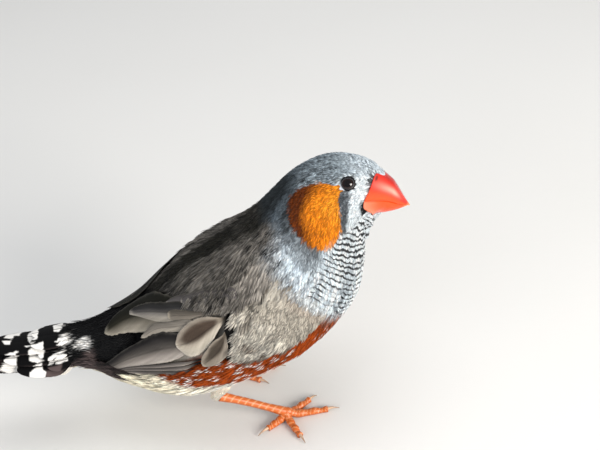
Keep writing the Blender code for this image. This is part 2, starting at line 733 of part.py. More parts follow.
# Colours of the sub-parts' materials: red, green, blue, then roughness.
FINISHES = {
    "torso": (0.34, 0.31, 0.29, 0.85),
    "neck": (0.36, 0.37, 0.39, 0.85),
    "head": (0.3, 0.3, 0.32, 0.85),
    "wing": (0.2, 0.17, 0.15, 0.8),
    "tail": (0.03, 0.03, 0.035, 0.75),
    "thigh": (0.72, 0.66, 0.58, 0.85),
    "shank": (0.8, 0.26, 0.07, 0.5),
    "foot": (0.8, 0.26, 0.07, 0.5),
    "bill_upper": (0.72, 0.06, 0.03, 0.35),
    "bill_lower": (0.82, 0.17, 0.06, 0.35),
    "eye": (0.02, 0.01, 0.01, 0.08),
}


def finish(obj):
    """Gives a node its own material, and smooth shading over all but sharp edges."""
    kind = obj.name if obj.name in FINISHES else obj.name.split("_")[0]
    red, green, blue, roughness = FINISHES[kind]
    material = bpy.data.materials.new(obj.name)
    material.use_nodes = True
    shader = material.node_tree.nodes["Principled BSDF"]
    shader.inputs["Base Color"].default_value = (red, green, blue, 1.0)
    shader.inputs["Roughness"].default_value = roughness
    shader.inputs["Metallic"].default_value = 0.0
    obj.data.materials.clear()
    obj.data.materials.append(material)
    obj.data.shade_smooth()
    obj.data.set_sharp_from_angle(angle=math.radians(SHARP_ANGLE))


def centre_on_floor(nodes):
    """Moves the whole bird so that the middle of its outline is over the origin."""
    bpy.context.view_layer.update()
    corners = np.array([tuple(node.matrix_world @ v.co) for node in nodes for v in node.data.vertices])
    low, high = corners.min(axis=0), corners.max(axis=0)
    for node in nodes:
        node.location.x -= (low[0] + high[0]) / 2.0
        node.location.y -= (low[1] + high[1]) / 2.0
        node.location.z -= low[2]


def build():
    """Makes every node of the bird."""
    clear_scene()
    bird = bpy.data.collections.new("zebra_finch")
    bpy.context.scene.collection.children.link(bird)
    nodes = [
        torso_node(bird),
        loft_node("neck", TORSO_END + NECK_GAP, NECK_END, NECK_RINGS, AROUND, bird),
        tail_node(bird),
    ]
    nodes += head_node(bird) + bill_nodes(bird)
    for label in SIDES:
        nodes.append(wing_node(label, bird))
        nodes += leg_nodes(label, bird)
    for node in nodes:
        finish(node)
    centre_on_floor(nodes)


build()
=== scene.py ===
"""The looks of a male zebra finch, life size, standing low on both feet with its head cocked to the right.

The plumage is modelled feather by feather over one skin. Both follow the same rule as the solids: a place on
the bird is u, the number of a station along the spine, theta, the angle from the back, and lift, the height
over the plumage's surface. Lengths are millimetres until a mesh is written.
"""

import logging
import math
from dataclasses import dataclass, field
from enum import Enum
from typing import Callable

import bmesh
import bpy
import numpy as np
from mathutils import Matrix, Vector
from mathutils.kdtree import KDTree


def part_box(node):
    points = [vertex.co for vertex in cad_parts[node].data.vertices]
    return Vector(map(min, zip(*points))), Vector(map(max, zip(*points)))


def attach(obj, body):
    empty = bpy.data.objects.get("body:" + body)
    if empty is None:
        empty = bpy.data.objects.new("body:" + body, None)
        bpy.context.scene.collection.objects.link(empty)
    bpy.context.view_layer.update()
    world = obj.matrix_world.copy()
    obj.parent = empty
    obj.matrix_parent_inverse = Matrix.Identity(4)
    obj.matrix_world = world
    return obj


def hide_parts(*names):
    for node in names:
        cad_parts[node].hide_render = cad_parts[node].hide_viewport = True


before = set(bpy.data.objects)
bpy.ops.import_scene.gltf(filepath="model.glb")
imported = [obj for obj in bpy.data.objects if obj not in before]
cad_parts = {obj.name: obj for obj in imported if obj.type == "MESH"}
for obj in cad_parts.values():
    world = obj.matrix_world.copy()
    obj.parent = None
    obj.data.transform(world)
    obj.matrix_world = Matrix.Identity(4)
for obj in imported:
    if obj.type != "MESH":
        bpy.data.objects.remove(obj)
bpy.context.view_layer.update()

MM = 0.001
BODY = "root"
LOG = logging.getLogger("zebra_finch")

Array = np.ndarray


class Side(Enum):
    """The bird's two sides, with the sign of y on each."""

    LEFT = 1.0
    RIGHT = -1.0

    @property
    def label(self) -> str:
        """The side's word in the names of nodes and pieces."""
        return self.name.lower()


def tone(code: str) -> Array:
    """The linear colour of a six-digit colour code."""
    value = np.array([int(code[i : i + 2], 16) for i in (0, 2, 4)]) / 255.0
    return np.where(value <= 0.04045, value / 12.92, ((value + 0.055) / 1.055) ** 2.4)


def smooth(low: float, high: float, value: Array | float) -> Array:
    """0 below low, 1 above high and a smooth ramp between them.

    Args:
        low: Where the ramp starts.
        high: Where it ends. It may be under low, for a ramp that falls.
        value: The numbers to read it at.

    Returns:
        The ramp's height at each value.
    """
    share = np.clip((np.asarray(value, float) - low) / (high - low), 0.0, 1.0)
    return share * share * (3.0 - 2.0 * share)


def blend(first: Array, second: Array, share: Array) -> Array:
    """Colours mixed from first to second by a share for each point."""
    return first + (second - first) * np.asarray(share, float)[..., None]


def grain(x: Array, y: Array, seed: int) -> Array:
    """Smooth noise over a plane, the same each run.

    Args:
        x: First coordinate, one unit a lump.
        y: Second coordinate.
        seed: Which noise it is.

    Returns:
        A number from 0 to 1 at each point.
    """
    cell_x, cell_y = np.floor(x).astype(np.int64), np.floor(y).astype(np.int64)
    part_x, part_y = smooth(0.0, 1.0, x - cell_x), smooth(0.0, 1.0, y - cell_y)

    def corner(i: int, j: int) -> Array:
        """The noise at one corner of each cell."""
        mixed = ((cell_x + i) * 374761393 + (cell_y + j) * 668265263 + seed * 97531) & 0x7FFFFFFF
        mixed = ((mixed ^ (mixed >> 13)) * 1274126177) & 0x7FFFFFFF
        return ((mixed ^ (mixed >> 16)) & 0xFFFF) / 65535.0

    low = corner(0, 0) + (corner(1, 0) - corner(0, 0)) * part_x
    high = corner(0, 1) + (corner(1, 1) - corner(0, 1)) * part_x
    return low + (high - low) * part_y


def along(values: Array | list[float], at: Array | float) -> Array:
    """The smooth curve through values, one at each whole number, read at the given places.

    Args:
        values: Heights at 0, 1, 2 and so on.
        at: Where to read the curve.

    Returns:
        The curve's heights.
    """
    values = np.asarray(values, float)
    at = np.clip(np.asarray(at, float), 0.0, len(values) - 1.0)
    i = np.minimum(at.astype(int), len(values) - 2)
    t = at - i
    slope = np.gradient(values)
    a, b, ma, mb = values[i], values[i + 1], slope[i], slope[i + 1]
    t2, t3 = t * t, t * t * t
    return (2 * t3 - 3 * t2 + 1) * a + (t3 - 2 * t2 + t) * ma + (3 * t2 - 2 * t3) * b + (t3 - t2) * mb


@dataclass(frozen=True)
class Station:
    """One section of the plumage: its centre, the way it faces, and its half heights and half width."""

    name: str
    x: float
    z: float
    pitch: float
    up: float
    down: float
    wide: float


STATIONS = (
    Station("tail_end", -64.0, 25.5, 2.0, 4.0, 4.0, 6.5),
    Station("tail_middle", -54.0, 24.2, 2.0, 4.6, 4.6, 6.6),
    Station("tail_root", -44.2, 24.4, 3.0, 4.8, 4.6, 5.8),
    Station("vent", -36.0, 23.0, 7.0, 8.6, 9.0, 9.2),
    Station("rump", -26.1, 22.8, 15.0, 13.0, 13.8, 12.8),
    Station("hind_belly", -17.0, 25.8, 24.0, 15.6, 16.2, 15.2),
    Station("belly", -8.2, 29.9, 31.0, 17.4, 17.8, 16.3),
    Station("breast", 0.5, 35.3, 37.0, 17.0, 18.2, 16.2),
    Station("shoulder", 9.0, 43.1, 43.0, 15.2, 16.6, 14.4),
    Station("throat", 13.5, 50.3, 44.0, 13.0, 13.6, 11.6),
    Station("nape", 16.7, 54.8, 37.0, 11.1, 11.3, 9.8),
    Station("cheek", 20.8, 57.6, 20.0, 8.8, 10.0, 8.9),
    Station("brow", 24.9, 57.8, 3.0, 6.7, 9.4, 7.6),
    Station("bill_root", 27.6, 56.2, -28.0, 4.8, 5.8, 5.3),
)
INDEX = {station.name: number for number, station in enumerate(STATIONS)}


@dataclass
class Form:
    """The bird's shape, which skin, coat, wings, eyes and bill all stand on."""

    head_roll: float = 20.0
    roll_pivot: tuple[float, float, float] = (16.0, 0.0, 52.0)
    roll_pitch: float = -8.0
    roll_from: float = INDEX["breast"] + 0.6
    roll_to: float = INDEX["nape"] + 0.4
    eye_u: float = INDEX["cheek"] + 0.14
    eye_theta: float = 69.0
    eye_depth: float = 1.5
    shift: Array = field(default_factory=lambda: np.zeros(3))

    def __post_init__(self) -> None:
        """Fits the frame: the eyes' middle is where the solids have it."""
        low, high = (np.array(corner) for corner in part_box("eye_right"))
        self.shift = (low + high) / 2.0 / MM - self.eye_centre(Side.RIGHT)

    def rolled(self, points: Array, share: Array | float = 1.0) -> Array:
        """Points turned with the cocked head.

        Args:
            points: Places in millimetres.
            share: How much of the head's roll each takes.

        Returns:
            The turned places.
        """
        pitch = math.radians(self.roll_pitch)
        axis = np.array([math.cos(pitch), 0.0, math.sin(pitch)])
        angle = -math.radians(self.head_roll) * np.asarray(share, float)[..., None]
        arm = np.asarray(points, float) - np.array(self.roll_pivot)
        straight = axis * (arm @ axis)[..., None] * (1.0 - np.cos(angle))
        return arm * np.cos(angle) + np.cross(axis, arm) * np.sin(angle) + straight + np.array(self.roll_pivot)

    def skin(self, u: Array | float, theta: Array | float, lift: Array | float = 0.0) -> Array:
        """Points over the plumage's surface.

        Args:
            u: Places along the spine.
            theta: Angles from the back in radians, positive on the right side.
            lift: Heights over the surface.

        Returns:
            One point for each.
        """
        u, theta, lift = np.broadcast_arrays(np.asarray(u, float), np.asarray(theta, float), np.asarray(lift, float))
        x, z, pitch, up, down, wide = (
            along([getattr(s, name) for s in STATIONS], u) for name in ("x", "z", "pitch", "up", "down", "wide")
        )
        pitch = np.radians(pitch)
        rise, side = np.cos(theta), np.sin(theta)
        high = np.where(rise > 0.0, up, down)
        out_n, out_y = rise / np.maximum(high, 0.1), side / np.maximum(wide, 0.1)
        size = np.hypot(out_n, out_y)
        height = high * rise + lift * out_n / size
        breadth = wide * side + lift * out_y / size
        points = np.stack([x - np.sin(pitch) * height, -breadth, z + np.cos(pitch) * height], -1)
        return self.rolled(points, smooth(self.roll_from, self.roll_to, u))

    def measure(self, u: Array, theta: Array) -> tuple[Array, Array]:
        """How many millimetres one unit of u and one radian of theta are at each place."""
        step = 0.02
        by_u = np.linalg.norm(self.skin(u + step, theta) - self.skin(u - step, theta), axis=-1) / (2 * step)
        by_theta = np.linalg.norm(self.skin(u, theta + step) - self.skin(u, theta - step), axis=-1) / (2 * step)
        return np.maximum(by_u, 1.0), np.maximum(by_theta, 0.8)

    @staticmethod
    def hollow(u: Array, theta: Array) -> Array:
        """How far the face draws in at the corner of the bill, in millimetres."""
        degrees = np.degrees(np.abs(np.arctan2(np.sin(theta), np.cos(theta))))
        away = np.hypot((u - 12.1) / 1.3, (degrees - 100.0) / 36.0)
        return 1.1 * smooth(1.0, 0.1, away)

    def eye_place(self, side: Side) -> tuple[Array, Array]:
        """The eye's place on the skin, and the way it looks."""
        theta = -side.value * math.radians(self.eye_theta)
        place = self.skin(self.eye_u, theta)
        return place, self.skin(self.eye_u, theta, 1.0) - place

    def eye_centre(self, side: Side) -> Array:
        """The middle of the eye's ball."""
        place, outward = self.eye_place(side)
        return place - outward * self.eye_depth

    def to_model(self, points: Array) -> Array:
        """Points in the frame's metres."""
        return (np.asarray(points, float) + self.shift) * MM


@dataclass(frozen=True)
class Palette:
    """The bird's colours, with a few darks that serve as painted shade."""

    crown: Array = field(default_factory=lambda: tone("b4c2ca"))
    crown_dark: Array = field(default_factory=lambda: tone("262b2e"))
    nape: Array = field(default_factory=lambda: tone("748089"))
    neck: Array = field(default_factory=lambda: tone("e2eff8"))
    breast: Array = field(default_factory=lambda: tone("e6f2fa"))
    bar: Array = field(default_factory=lambda: tone("15181b"))
    face: Array = field(default_factory=lambda: tone("eaf3f8"))
    cheek: Array = field(default_factory=lambda: tone("f58e16"))
    # The cheek's dark brown is painted shade on the patch's top and back.
    cheek_painted_shade: Array = field(default_factory=lambda: tone("5c2403"))
    cheek_light: Array = field(default_factory=lambda: tone("ffab35"))
    mantle: Array = field(default_factory=lambda: tone("a49d94"))
    # mantle_dark is both the back's dark streaks and shafts and the painted shade along its top.
    mantle_dark: Array = field(default_factory=lambda: tone("191811"))
    # ridge is a near-black used as painted shade: along the nape's top and in a rim behind the cheek.
    ridge: Array = field(default_factory=lambda: tone("12130e"))
    rust_grey: Array = field(default_factory=lambda: tone("a58d84"))
    side: Array = field(default_factory=lambda: tone("c3bdb0"))
    covert: Array = field(default_factory=lambda: tone("8d8375"))
    covert_dark: Array = field(default_factory=lambda: tone("57483b"))
    rim: Array = field(default_factory=lambda: tone("bdb4a4"))
    flight: Array = field(default_factory=lambda: tone("8b857e"))
    flight_dark: Array = field(default_factory=lambda: tone("3b3734"))
    flank: Array = field(default_factory=lambda: tone("ab4600"))
    flank_dark: Array = field(default_factory=lambda: tone("642700"))
    spot: Array = field(default_factory=lambda: tone("f2efe9"))
    belly: Array = field(default_factory=lambda: tone("f6f1e6"))
    vent: Array = field(default_factory=lambda: tone("f3e9cf"))
    tail: Array = field(default_factory=lambda: tone("050506"))
    tail_brown: Array = field(default_factory=lambda: tone("574b49"))
    skin: Array = field(default_factory=lambda: tone("8a6f66"))


# Outlines of the face's patches, as places on the skin: u and degrees from the back.
CHEEK = (
    (10.68, 72), (10.50, 81), (10.28, 90), (10.00, 99), (9.70, 105), (9.38, 103), (9.08, 98), (8.88, 89),
    (8.79, 79), (8.77, 68), (8.81, 57), (8.92, 46), (9.12, 38), (9.36, 32), (9.80, 37), (10.18, 46),
    (10.46, 55), (10.62, 64),
)
STRIPE = (
    (10.74, 75), (11.00, 84), (10.74, 93), (10.50, 101), (10.12, 108), (9.74, 111), (9.58, 107),
    (9.68, 102), (9.98, 98), (10.27, 90), (10.50, 81),
)
WHITE = (
    (12.60, 60), (11.75, 58), (11.30, 72), (11.02, 82), (10.76, 94), (10.52, 102), (10.14, 109), (9.78, 113),
    (10.23, 122), (11.00, 127), (11.70, 124), (12.30, 104), (12.80, 74),
)
GAPE = ((11.34, 102), (11.52, 101), (11.47, 106), (11.31, 112), (11.2, 120), (11.02, 121), (11.12, 110))
MM_PER_U = 4.8
MM_PER_DEGREE = 0.17

# Outlines of the tail's white spots and brown patches, in millimetres along x and y.
TAIL_SPOTS = (
    ((-44.5, 6.6), (-43.5, 7.4), (-41.7, 7.7), (-42.1, 7.0), (-44.0, 6.3)),
    ((-51.1, 5.3), (-50.2, 6.4), (-47.6, 6.9), (-48.3, 5.8), (-49.3, 4.9), (-50.8, 4.9)),
    ((-51.7, 3.5), (-49.4, 4.4), (-49.3, 1.5), (-49.8, 0.5), (-51.1, 0.9)),
    ((-57.9, 2.3), (-56.8, 4.7), (-53.5, 5.5), (-54.0, 3.8), (-55.1, 3.3), (-55.0, -0.7), (-57.0, -0.8)),
    ((-63.4, 2.1), (-62.7, 3.7), (-59.4, 4.5), (-59.8, 2.5), (-61.0, 2.5), (-61.4, 1.3)),
    ((-63.6, 1.0), (-61.4, 0.8), (-61.5, -0.7), (-63.0, -0.3)),
    ((-58.0, -1.7), (-55.3, -1.5), (-55.5, -2.0), (-57.6, -2.1)),
    ((-57.1, -3.3), (-56.0, -2.4), (-53.3, -2.0), (-53.2, -3.6), (-53.5, -5.1), (-55.2, -5.6), (-56.8, -5.1)),
    ((-50.5, -2.8), (-49.7, -1.5), (-46.8, -0.1), (-47.4, -1.5), (-47.5, -2.5), (-49.4, -2.9)),
    ((-50.1, -3.8), (-49.0, -2.9), (-46.4, -2.5), (-46.6, -3.2), (-47.4, -3.7), (-49.4, -4.0)),
    ((-46.2, -4.5), (-45.4, -3.4), (-44.1, -2.5), (-42.9, -2.7), (-42.8, -4.1), (-41.4, -4.1), (-42.3, -5.0),
     (-43.8, -5.4), (-44.4, -4.6)),
    ((-52.7, -6.4), (-51.9, -5.4), (-49.2, -4.5), (-49.3, -5.4), (-51.0, -6.0), (-51.8, -6.5)),
    ((-50.9, -6.5), (-50.1, -5.7), (-48.8, -5.3), (-47.8, -5.6), (-47.9, -6.2), (-49.5, -6.7)),
    ((-64.4, -5.2), (-61.9, -3.3), (-59.4, -2.9), (-59.8, -3.7), (-59.9, -5.8), (-62.2, -5.9)),
    ((-57.0, -7.2), (-56.0, -6.2), (-54.1, -5.7), (-54.1, -6.7), (-53.3, -7.3), (-53.6, -9.0), (-57.0, -9.0)),
    ((-68.5, -4.6), (-67.5, -2.9), (-65.6, -3.0), (-66.0, -5.2)),
    ((-67.0, -1.3), (-65.0, -0.2), (-64.9, -1.9), (-66.4, -2.3)),
    ((-69.0, 0.6), (-67.2, 2.4), (-66.0, 2.0), (-67.0, -0.2)),
    ((-72.8, -3.9), (-71.4, -2.0), (-69.6, -2.2), (-70.6, -4.4)),
    ((-73.4, 1.0), (-71.8, 2.8), (-70.4, 2.2), (-71.6, 0.2)),
)
TAIL_BROWN = (
    ((-44.7, -6.3), (-44.1, -5.7), (-42.3, -5.3), (-41.3, -6.0), (-41.6, -9.0), (-44.0, -9.0)),
    ((-53.4, -7.3), (-52.2, -6.9), (-49.2, -6.9), (-49.8, -9.0), (-53.2, -9.0)),
)


def within(
    u: Array, degrees: Array, outline: tuple, soft: float = 0.25, scale: tuple[float, float] = (MM_PER_U, MM_PER_DEGREE)
) -> Array:
    """1 inside an outline on the skin, 0 outside, with a soft edge.

    Args:
        u: Places along the spine.
        degrees: Angles from the back.
        outline: The patch's corners, as pairs of u and degrees.
        soft: The edge's half width in millimetres.
        scale: Millimetres for one unit of each of the two.

    Returns:
        How much of the patch each place has.
    """
    x, y = np.asarray(u) * scale[0], np.asarray(degrees) * scale[1]
    corners = np.array(outline, float) * scale
    nearest = np.full(x.shape, np.inf)
    inside = np.zeros(x.shape, bool)
    for (ax, ay), (bx, by) in zip(corners, np.roll(corners, -1, axis=0)):
        share = np.clip(((x - ax) * (bx - ax) + (y - ay) * (by - ay)) / ((bx - ax) ** 2 + (by - ay) ** 2), 0.0, 1.0)
        nearest = np.minimum(nearest, np.hypot(x - ax - share * (bx - ax), y - ay - share * (by - ay)))
        if ay != by:
            inside ^= ((ay > y) != (by > y)) & (x < (bx - ax) * (y - ay) / (by - ay) + ax)
    return smooth(-soft, soft, np.where(inside, nearest, -nearest))


def tail_pattern(x: Array, y: Array, colour: Array, palette: "Palette") -> Array:
    """Colours of the tail's black feathers with their white spots and brown patches.

    Args:
        x: Places along the bird in millimetres.
        y: Places across it.
        colour: The colours without spots.
        palette: The bird's colours.

    Returns:
        The colours with them.
    """
    wobble = 0.35 * (grain(x * 1.6, y * 1.6, 21) - 0.5)
    for outlines, mark, soft in ((TAIL_BROWN, palette.tail_brown, 0.3), (TAIL_SPOTS, palette.spot, 0.12)):
        for outline in outlines:
            colour = blend(colour, mark, within(x + wobble, y - wobble, outline, soft, (1.0, 1.0)))
    return colour


@dataclass
class Markings:
    """Where each colour of the plumage lies, as functions of the place on the bird."""

    form: Form
    palette: Palette
    bar_pitch: float = 1.25

    def travel(self, u: Array) -> Array:
        """Millimetres along the throat's line at each u."""
        at = np.arange(len(STATIONS), dtype=float)
        line = self.form.skin(at, np.radians(130.0))
        run = np.concatenate([[0.0], np.cumsum(np.linalg.norm(np.diff(line, axis=0), axis=1))])
        return along(run, u)

    @staticmethod
    def flank_edge(u: Array) -> Array:
        """The lower edge of the chestnut flank, in degrees from the back."""
        return np.interp(u, [3.0, 3.9, 4.2, 4.6, 5.1, 5.6, 6.5, 7.5, 7.9], [84, 90, 99, 120, 135, 141, 151, 161, 165])

    @staticmethod
    def bar_edge(u: Array) -> Array:
        """The upper edge of the barred throat, in degrees from the back."""
        return np.interp(u, [7.8, 8.18, 8.5, 8.85, 9.6, 10.2, 11.1, 12.0, 13.0], [92, 84, 88, 93, 105, 118, 121, 126, 132])

    def bars(self, u: Array, degrees: Array, jitter: Array) -> Array:
        """How many of the throat's wavy bars lie between each place and the tail."""
        ripple = 0.4 - 0.2 * smooth(9.6, 10.6, u)
        wave = 0.7 * grain(degrees / 7.0, u * 2.2, 5) + ripple * grain(degrees / 2.6, u * 6.0, 6)
        slant = -0.05 * (degrees - 120.0) * smooth(8.4, 9.6, u)
        return self.travel(u) / self.bar_pitch + wave + jitter + slant

    def colours(self, u: Array, theta: Array) -> tuple[Array, Array]:
        """The plumage's colour without its bars, and how much of them each place shows.

        Args:
            u: Places along the spine.
            theta: Angles from the back in radians.

        Returns:
            A linear colour and a share of bars for each place.
        """
        p = self.palette
        degrees = np.degrees(np.abs(np.arctan2(np.sin(theta), np.cos(theta))))
        patch = grain(u * 2.4, degrees / 9.0, 1)
        fine = grain(u * 14.0, degrees / 1.8, 2)
        # Back: mantle, then nape and crown. The back's top and the mantle's rear are darkened as painted shade, among
        # real dark streaks.
        ridge = np.interp(u, [5.5, 6.5, 7.5, 8.5], [7.0, 9.0, 16.0, 29.0])
        # patch and fine are the mantle's streaks; the last term and the next line darken the top of the back as painted
        # shade.
        back = 0.15 * patch + 0.2 * fine + 0.75 * smooth(8.0, -8.0, degrees - ridge)
        back = back + 0.35 * smooth(7.5, 6.4, u) * smooth(54.0, 36.0, degrees)
        colour = blend(p.mantle, p.mantle_dark, np.clip(back, 0.0, 0.97))
        head = smooth(8.15, 8.65, u + 0.25 * (patch - 0.5))
        grey = blend(p.nape, p.crown, smooth(9.2, 10.5, u))
        grey = blend(grey, p.crown_dark, 0.3 * smooth(0.45, 0.8, fine) * smooth(9.0, 10.2, u))
        grey = blend(grey, p.neck, 0.9 * smooth(10.9, 11.9, u))
        # The nape's top along the back's line is darkened as painted shade.
        grey = blend(grey, p.ridge, 0.88 * smooth(40.0, 12.0, degrees) * smooth(10.5, 9.3, u))
        colour = blend(colour, grey, head)
        # The side of the neck and the breast are pale blue-grey.
        neck = smooth(32.0, 68.0, degrees + 12.0 * (patch - 0.5)) * smooth(7.5, 8.1, u) * smooth(11.2, 9.6, u)
        colour = blend(colour, p.neck, neck)
        breast = smooth(76.0, 100.0, degrees + 8.0 * (patch - 0.5)) * smooth(7.45, 7.75, u + 0.004 * (degrees - 110.0))
        colour = blend(colour, p.breast, breast)
        # Under the wing: pale side, chestnut flank, white belly and vent.
        under = smooth(7.75, 7.35, u - 0.002 * (degrees - 110.0))
        colour = blend(colour, p.side, under * smooth(62.0, 84.0, degrees))
        colour = blend(colour, blend(p.flank, p.flank_dark, 0.6 * patch), under * smooth(78.0, 86.0, degrees))
        belly = smooth(-3.0, 3.0, degrees - self.flank_edge(u) + 4.0 * (fine - 0.5))
        colour = blend(colour, blend(p.belly, p.vent, smooth(5.2, 3.4, u)), under * belly)
        # Rump and vent.
        vent = smooth(3.9, 3.2, u) * smooth(84.0, 96.0, degrees)
        colour = blend(colour, p.vent, vent)
        side = 24.0 * smooth(3.1, 2.7, u)
        colour = blend(colour, p.tail, smooth(4.5, 4.2, u) * smooth(92.0, 84.0, degrees - side))
        brown = smooth(84.0, 94.0, degrees) * smooth(116.0, 108.0, degrees) * smooth(3.0, 2.7, u)
        colour = blend(colour, p.tail_brown, 0.8 * brown)
        # Throat: white between its bars.
        into = degrees - self.bar_edge(u) + 5.0 * (patch - 0.5)
        throat = smooth(-4.0, 10.0, into) * smooth(7.6, 7.95, u + 0.003 * (degrees - 110.0))
        colour = blend(colour, p.face, 0.8 * throat * smooth(8.2, 9.2, u))
        # Face: mottled grey before the eye, then white, with the stripe under the eye and a bar at the gape.
        lores = smooth(11.3, 11.9, u) * smooth(30.0, 55.0, degrees)
        colour = blend(colour, p.face, lores * (0.25 + 0.5 * smooth(0.4, 0.7, fine)))
        white = within(u, degrees, WHITE, 0.5)
        stripe, gape, cheek = (within(u, degrees, outline) for outline in (STRIPE, GAPE, CHEEK))
        # A pale ring round the eye, and a near-black rim behind the cheek as painted shadow.
        eye = np.hypot((u - self.form.eye_u) * 4.3, (degrees - self.form.eye_theta) * 0.155)
        colour = blend(colour, p.face, 0.85 * smooth(2.6, 1.9, eye))
        edge = np.interp(degrees, [31, 46, 57, 68, 79, 88, 98], [9.36, 8.92, 8.81, 8.77, 8.79, 8.88, 9.08])
        behind = u - edge
        rim = smooth(-0.75, -0.15, behind) * smooth(0.4, 0.0, behind) * smooth(24.0, 40.0, degrees)
        colour = blend(colour, p.ridge, 0.72 * rim * smooth(104.0, 84.0, degrees))
        colour = blend(colour, p.face, white)
        marked = np.maximum(stripe * (0.86 - 0.25 * smooth(0.5, 0.75, fine)), gape)
        colour = blend(colour, p.bar, marked)
        # The cheek's top and back are darkened towards brown as painted shade.
        dark = smooth(65.0, 45.0, degrees) * smooth(11.0, 9.7, u)
        dark = dark + smooth(0.62, 0.0, behind) * smooth(90.0, 62.0, degrees)
        orange = blend(p.cheek, p.cheek_painted_shade, np.clip(dark, 0.0, 0.96))
        orange = blend(orange, p.cheek_light, 0.45 * smooth(9.4, 10.1, u) * smooth(56.0, 84.0, degrees))
        colour = blend(colour, orange, cheek)
        # Dark, ragged bristles where the feathers meet the side of the bill.
        base = smooth(-0.37, -0.29, u - bill_edge(degrees)) * smooth(42.0, 52.0, degrees) * smooth(90.0, 84.0, degrees)
        colour = blend(colour, p.bar, 0.9 * base * smooth(0.2, 0.4, fine))
        broken = grain(u * 5.0, degrees / 3.5, 9)
        lasting = 0.1 + 0.42 * smooth(8.2, 9.4, u) - 0.2 * smooth(10.4, 11.2, u)
        barred = throat * (lasting + 0.5 * smooth(0.3, 0.75, broken))
        barred = barred * (0.55 + 0.45 * smooth(2.0, 18.0, into))
        return colour, barred * (1.0 - np.maximum(np.maximum(cheek, stripe), white))


@dataclass(frozen=True)
class VaneMesh:
    """A feather in its own measure: across and along are shares of its half width and its length."""

    across: Array
    along: Array
    rise: Array
    strand: Array
    tris: Array


@dataclass(frozen=True)
class VaneShape:
    """How one kind of feather is cut: a blade, with loose barbs that run out past it."""

    rings: int = 4
    columns: int = 3
    barbs: int = 4
    aspect: float = 3.6
    blade: float = 0.8
    rise: float = 0.07
    barb_width: float = 0.16
    fray: float = 0.06
    tip_from: float = 0.55

    def width(self, t: Array) -> Array:
        """The blade's half width at a share of its length."""
        into = np.clip(t - self.tip_from, 0.0, 1.0) / (1.01 - self.tip_from)
        tip = np.sqrt(np.clip(1.0 - into**2, 0.0, 1.0))
        return (0.4 + 0.6 * smooth(0.0, 0.4, t)) * np.maximum(tip, 0.16)

    def build(self, rng: np.random.Generator) -> VaneMesh:
        """Cuts one feather.

        Args:
            rng: Where its small irregularities come from.

        Returns:
            The feather's mesh.
        """
        points: list[list[float]] = []
        tris: list[tuple[int, int, int]] = []
        cols = np.linspace(-1.0, 1.0, self.columns)
        loop = 2 * self.columns - 2
        for t in np.linspace(0.0, 1.0, self.rings):
            ragged = 1.0 + rng.normal(0.0, self.fray, self.columns)
            across = cols * self.width(np.array(t)) * ragged
            body = 1.0 - cols**2
            for a, thick in zip(across, body):
                points.append([a, t * self.blade, self.rise * (0.35 + 0.65 * thick) * (1.0 - 0.6 * t), 0.0])
            for a, thick in list(zip(across, body))[-2:0:-1]:
                points.append([a, t * self.blade, -0.3 * self.rise * thick, 0.0])
        for ring in range(self.rings - 1):
            for i in range(loop):
                a, b = ring * loop + i, ring * loop + (i + 1) % loop
                tris += [(a, b, b + loop), (a, b + loop, a + loop)]
        last = (self.rings - 1) * loop
        tris += [(0, k + 1, k) for k in range(1, loop - 1)]
        tris += [(last, last + k, last + k + 1) for k in range(1, loop - 1)]
        for number in range(self.barbs * 2 + 1 if self.barbs else 0):
            self._add_barb(number, points, tris, rng)
        table = np.array(points)
        return VaneMesh(table[:, 0], table[:, 1], table[:, 2], table[:, 3], np.array(tris))

    def _add_barb(self, number: int, points: list, tris: list, rng: np.random.Generator) -> None:
        """Adds one loose barb, a closed spike from the shaft to the feather's edge."""
        side = 0.0 if number == 0 else (1.0 if number % 2 else -1.0)
        rank = (number + 1) // 2 / max(self.barbs, 1)
        start = np.array([0.05 * side, (0.62 - 0.5 * rank) * self.aspect])
        reach = 1.0 - 0.42 * rank + rng.normal(0.0, 0.03)
        spread = side * (0.25 + 0.8 * rank**0.7) * (1.0 + rng.normal(0.0, 0.1))
        end = np.array([spread, reach * self.aspect])
        way = end - start
        aside = np.array([-way[1], way[0]]) / np.linalg.norm(way)
        middle = start + way * 0.55 + aside * -side * 0.1
        strand = rng.uniform(-1.0, 1.0)
        base = len(points)
        for at, wide, rise in ((start, 0.75, 0.05), (middle, 1.0, 0.13)):
            for across, up in ((-1.0, 0.0), (1.0, 0.0), (0.0, 0.07)):
                place = at + aside * across * self.barb_width * wide
                points.append([place[0], place[1] / self.aspect, rise + up, strand])
        points.append([end[0], end[1] / self.aspect, 0.14 + rng.uniform(0.0, 0.1), strand])
        tris.append((base, base + 2, base + 1))
        for i in range(3):
            j = (i + 1) % 3
            tris.append((base + i, base + j, base + 3 + j))
            tris.append((base + i, base + 3 + j, base + 3 + i))
            tris.append((base + 3 + i, base + 3 + j, base + 6))


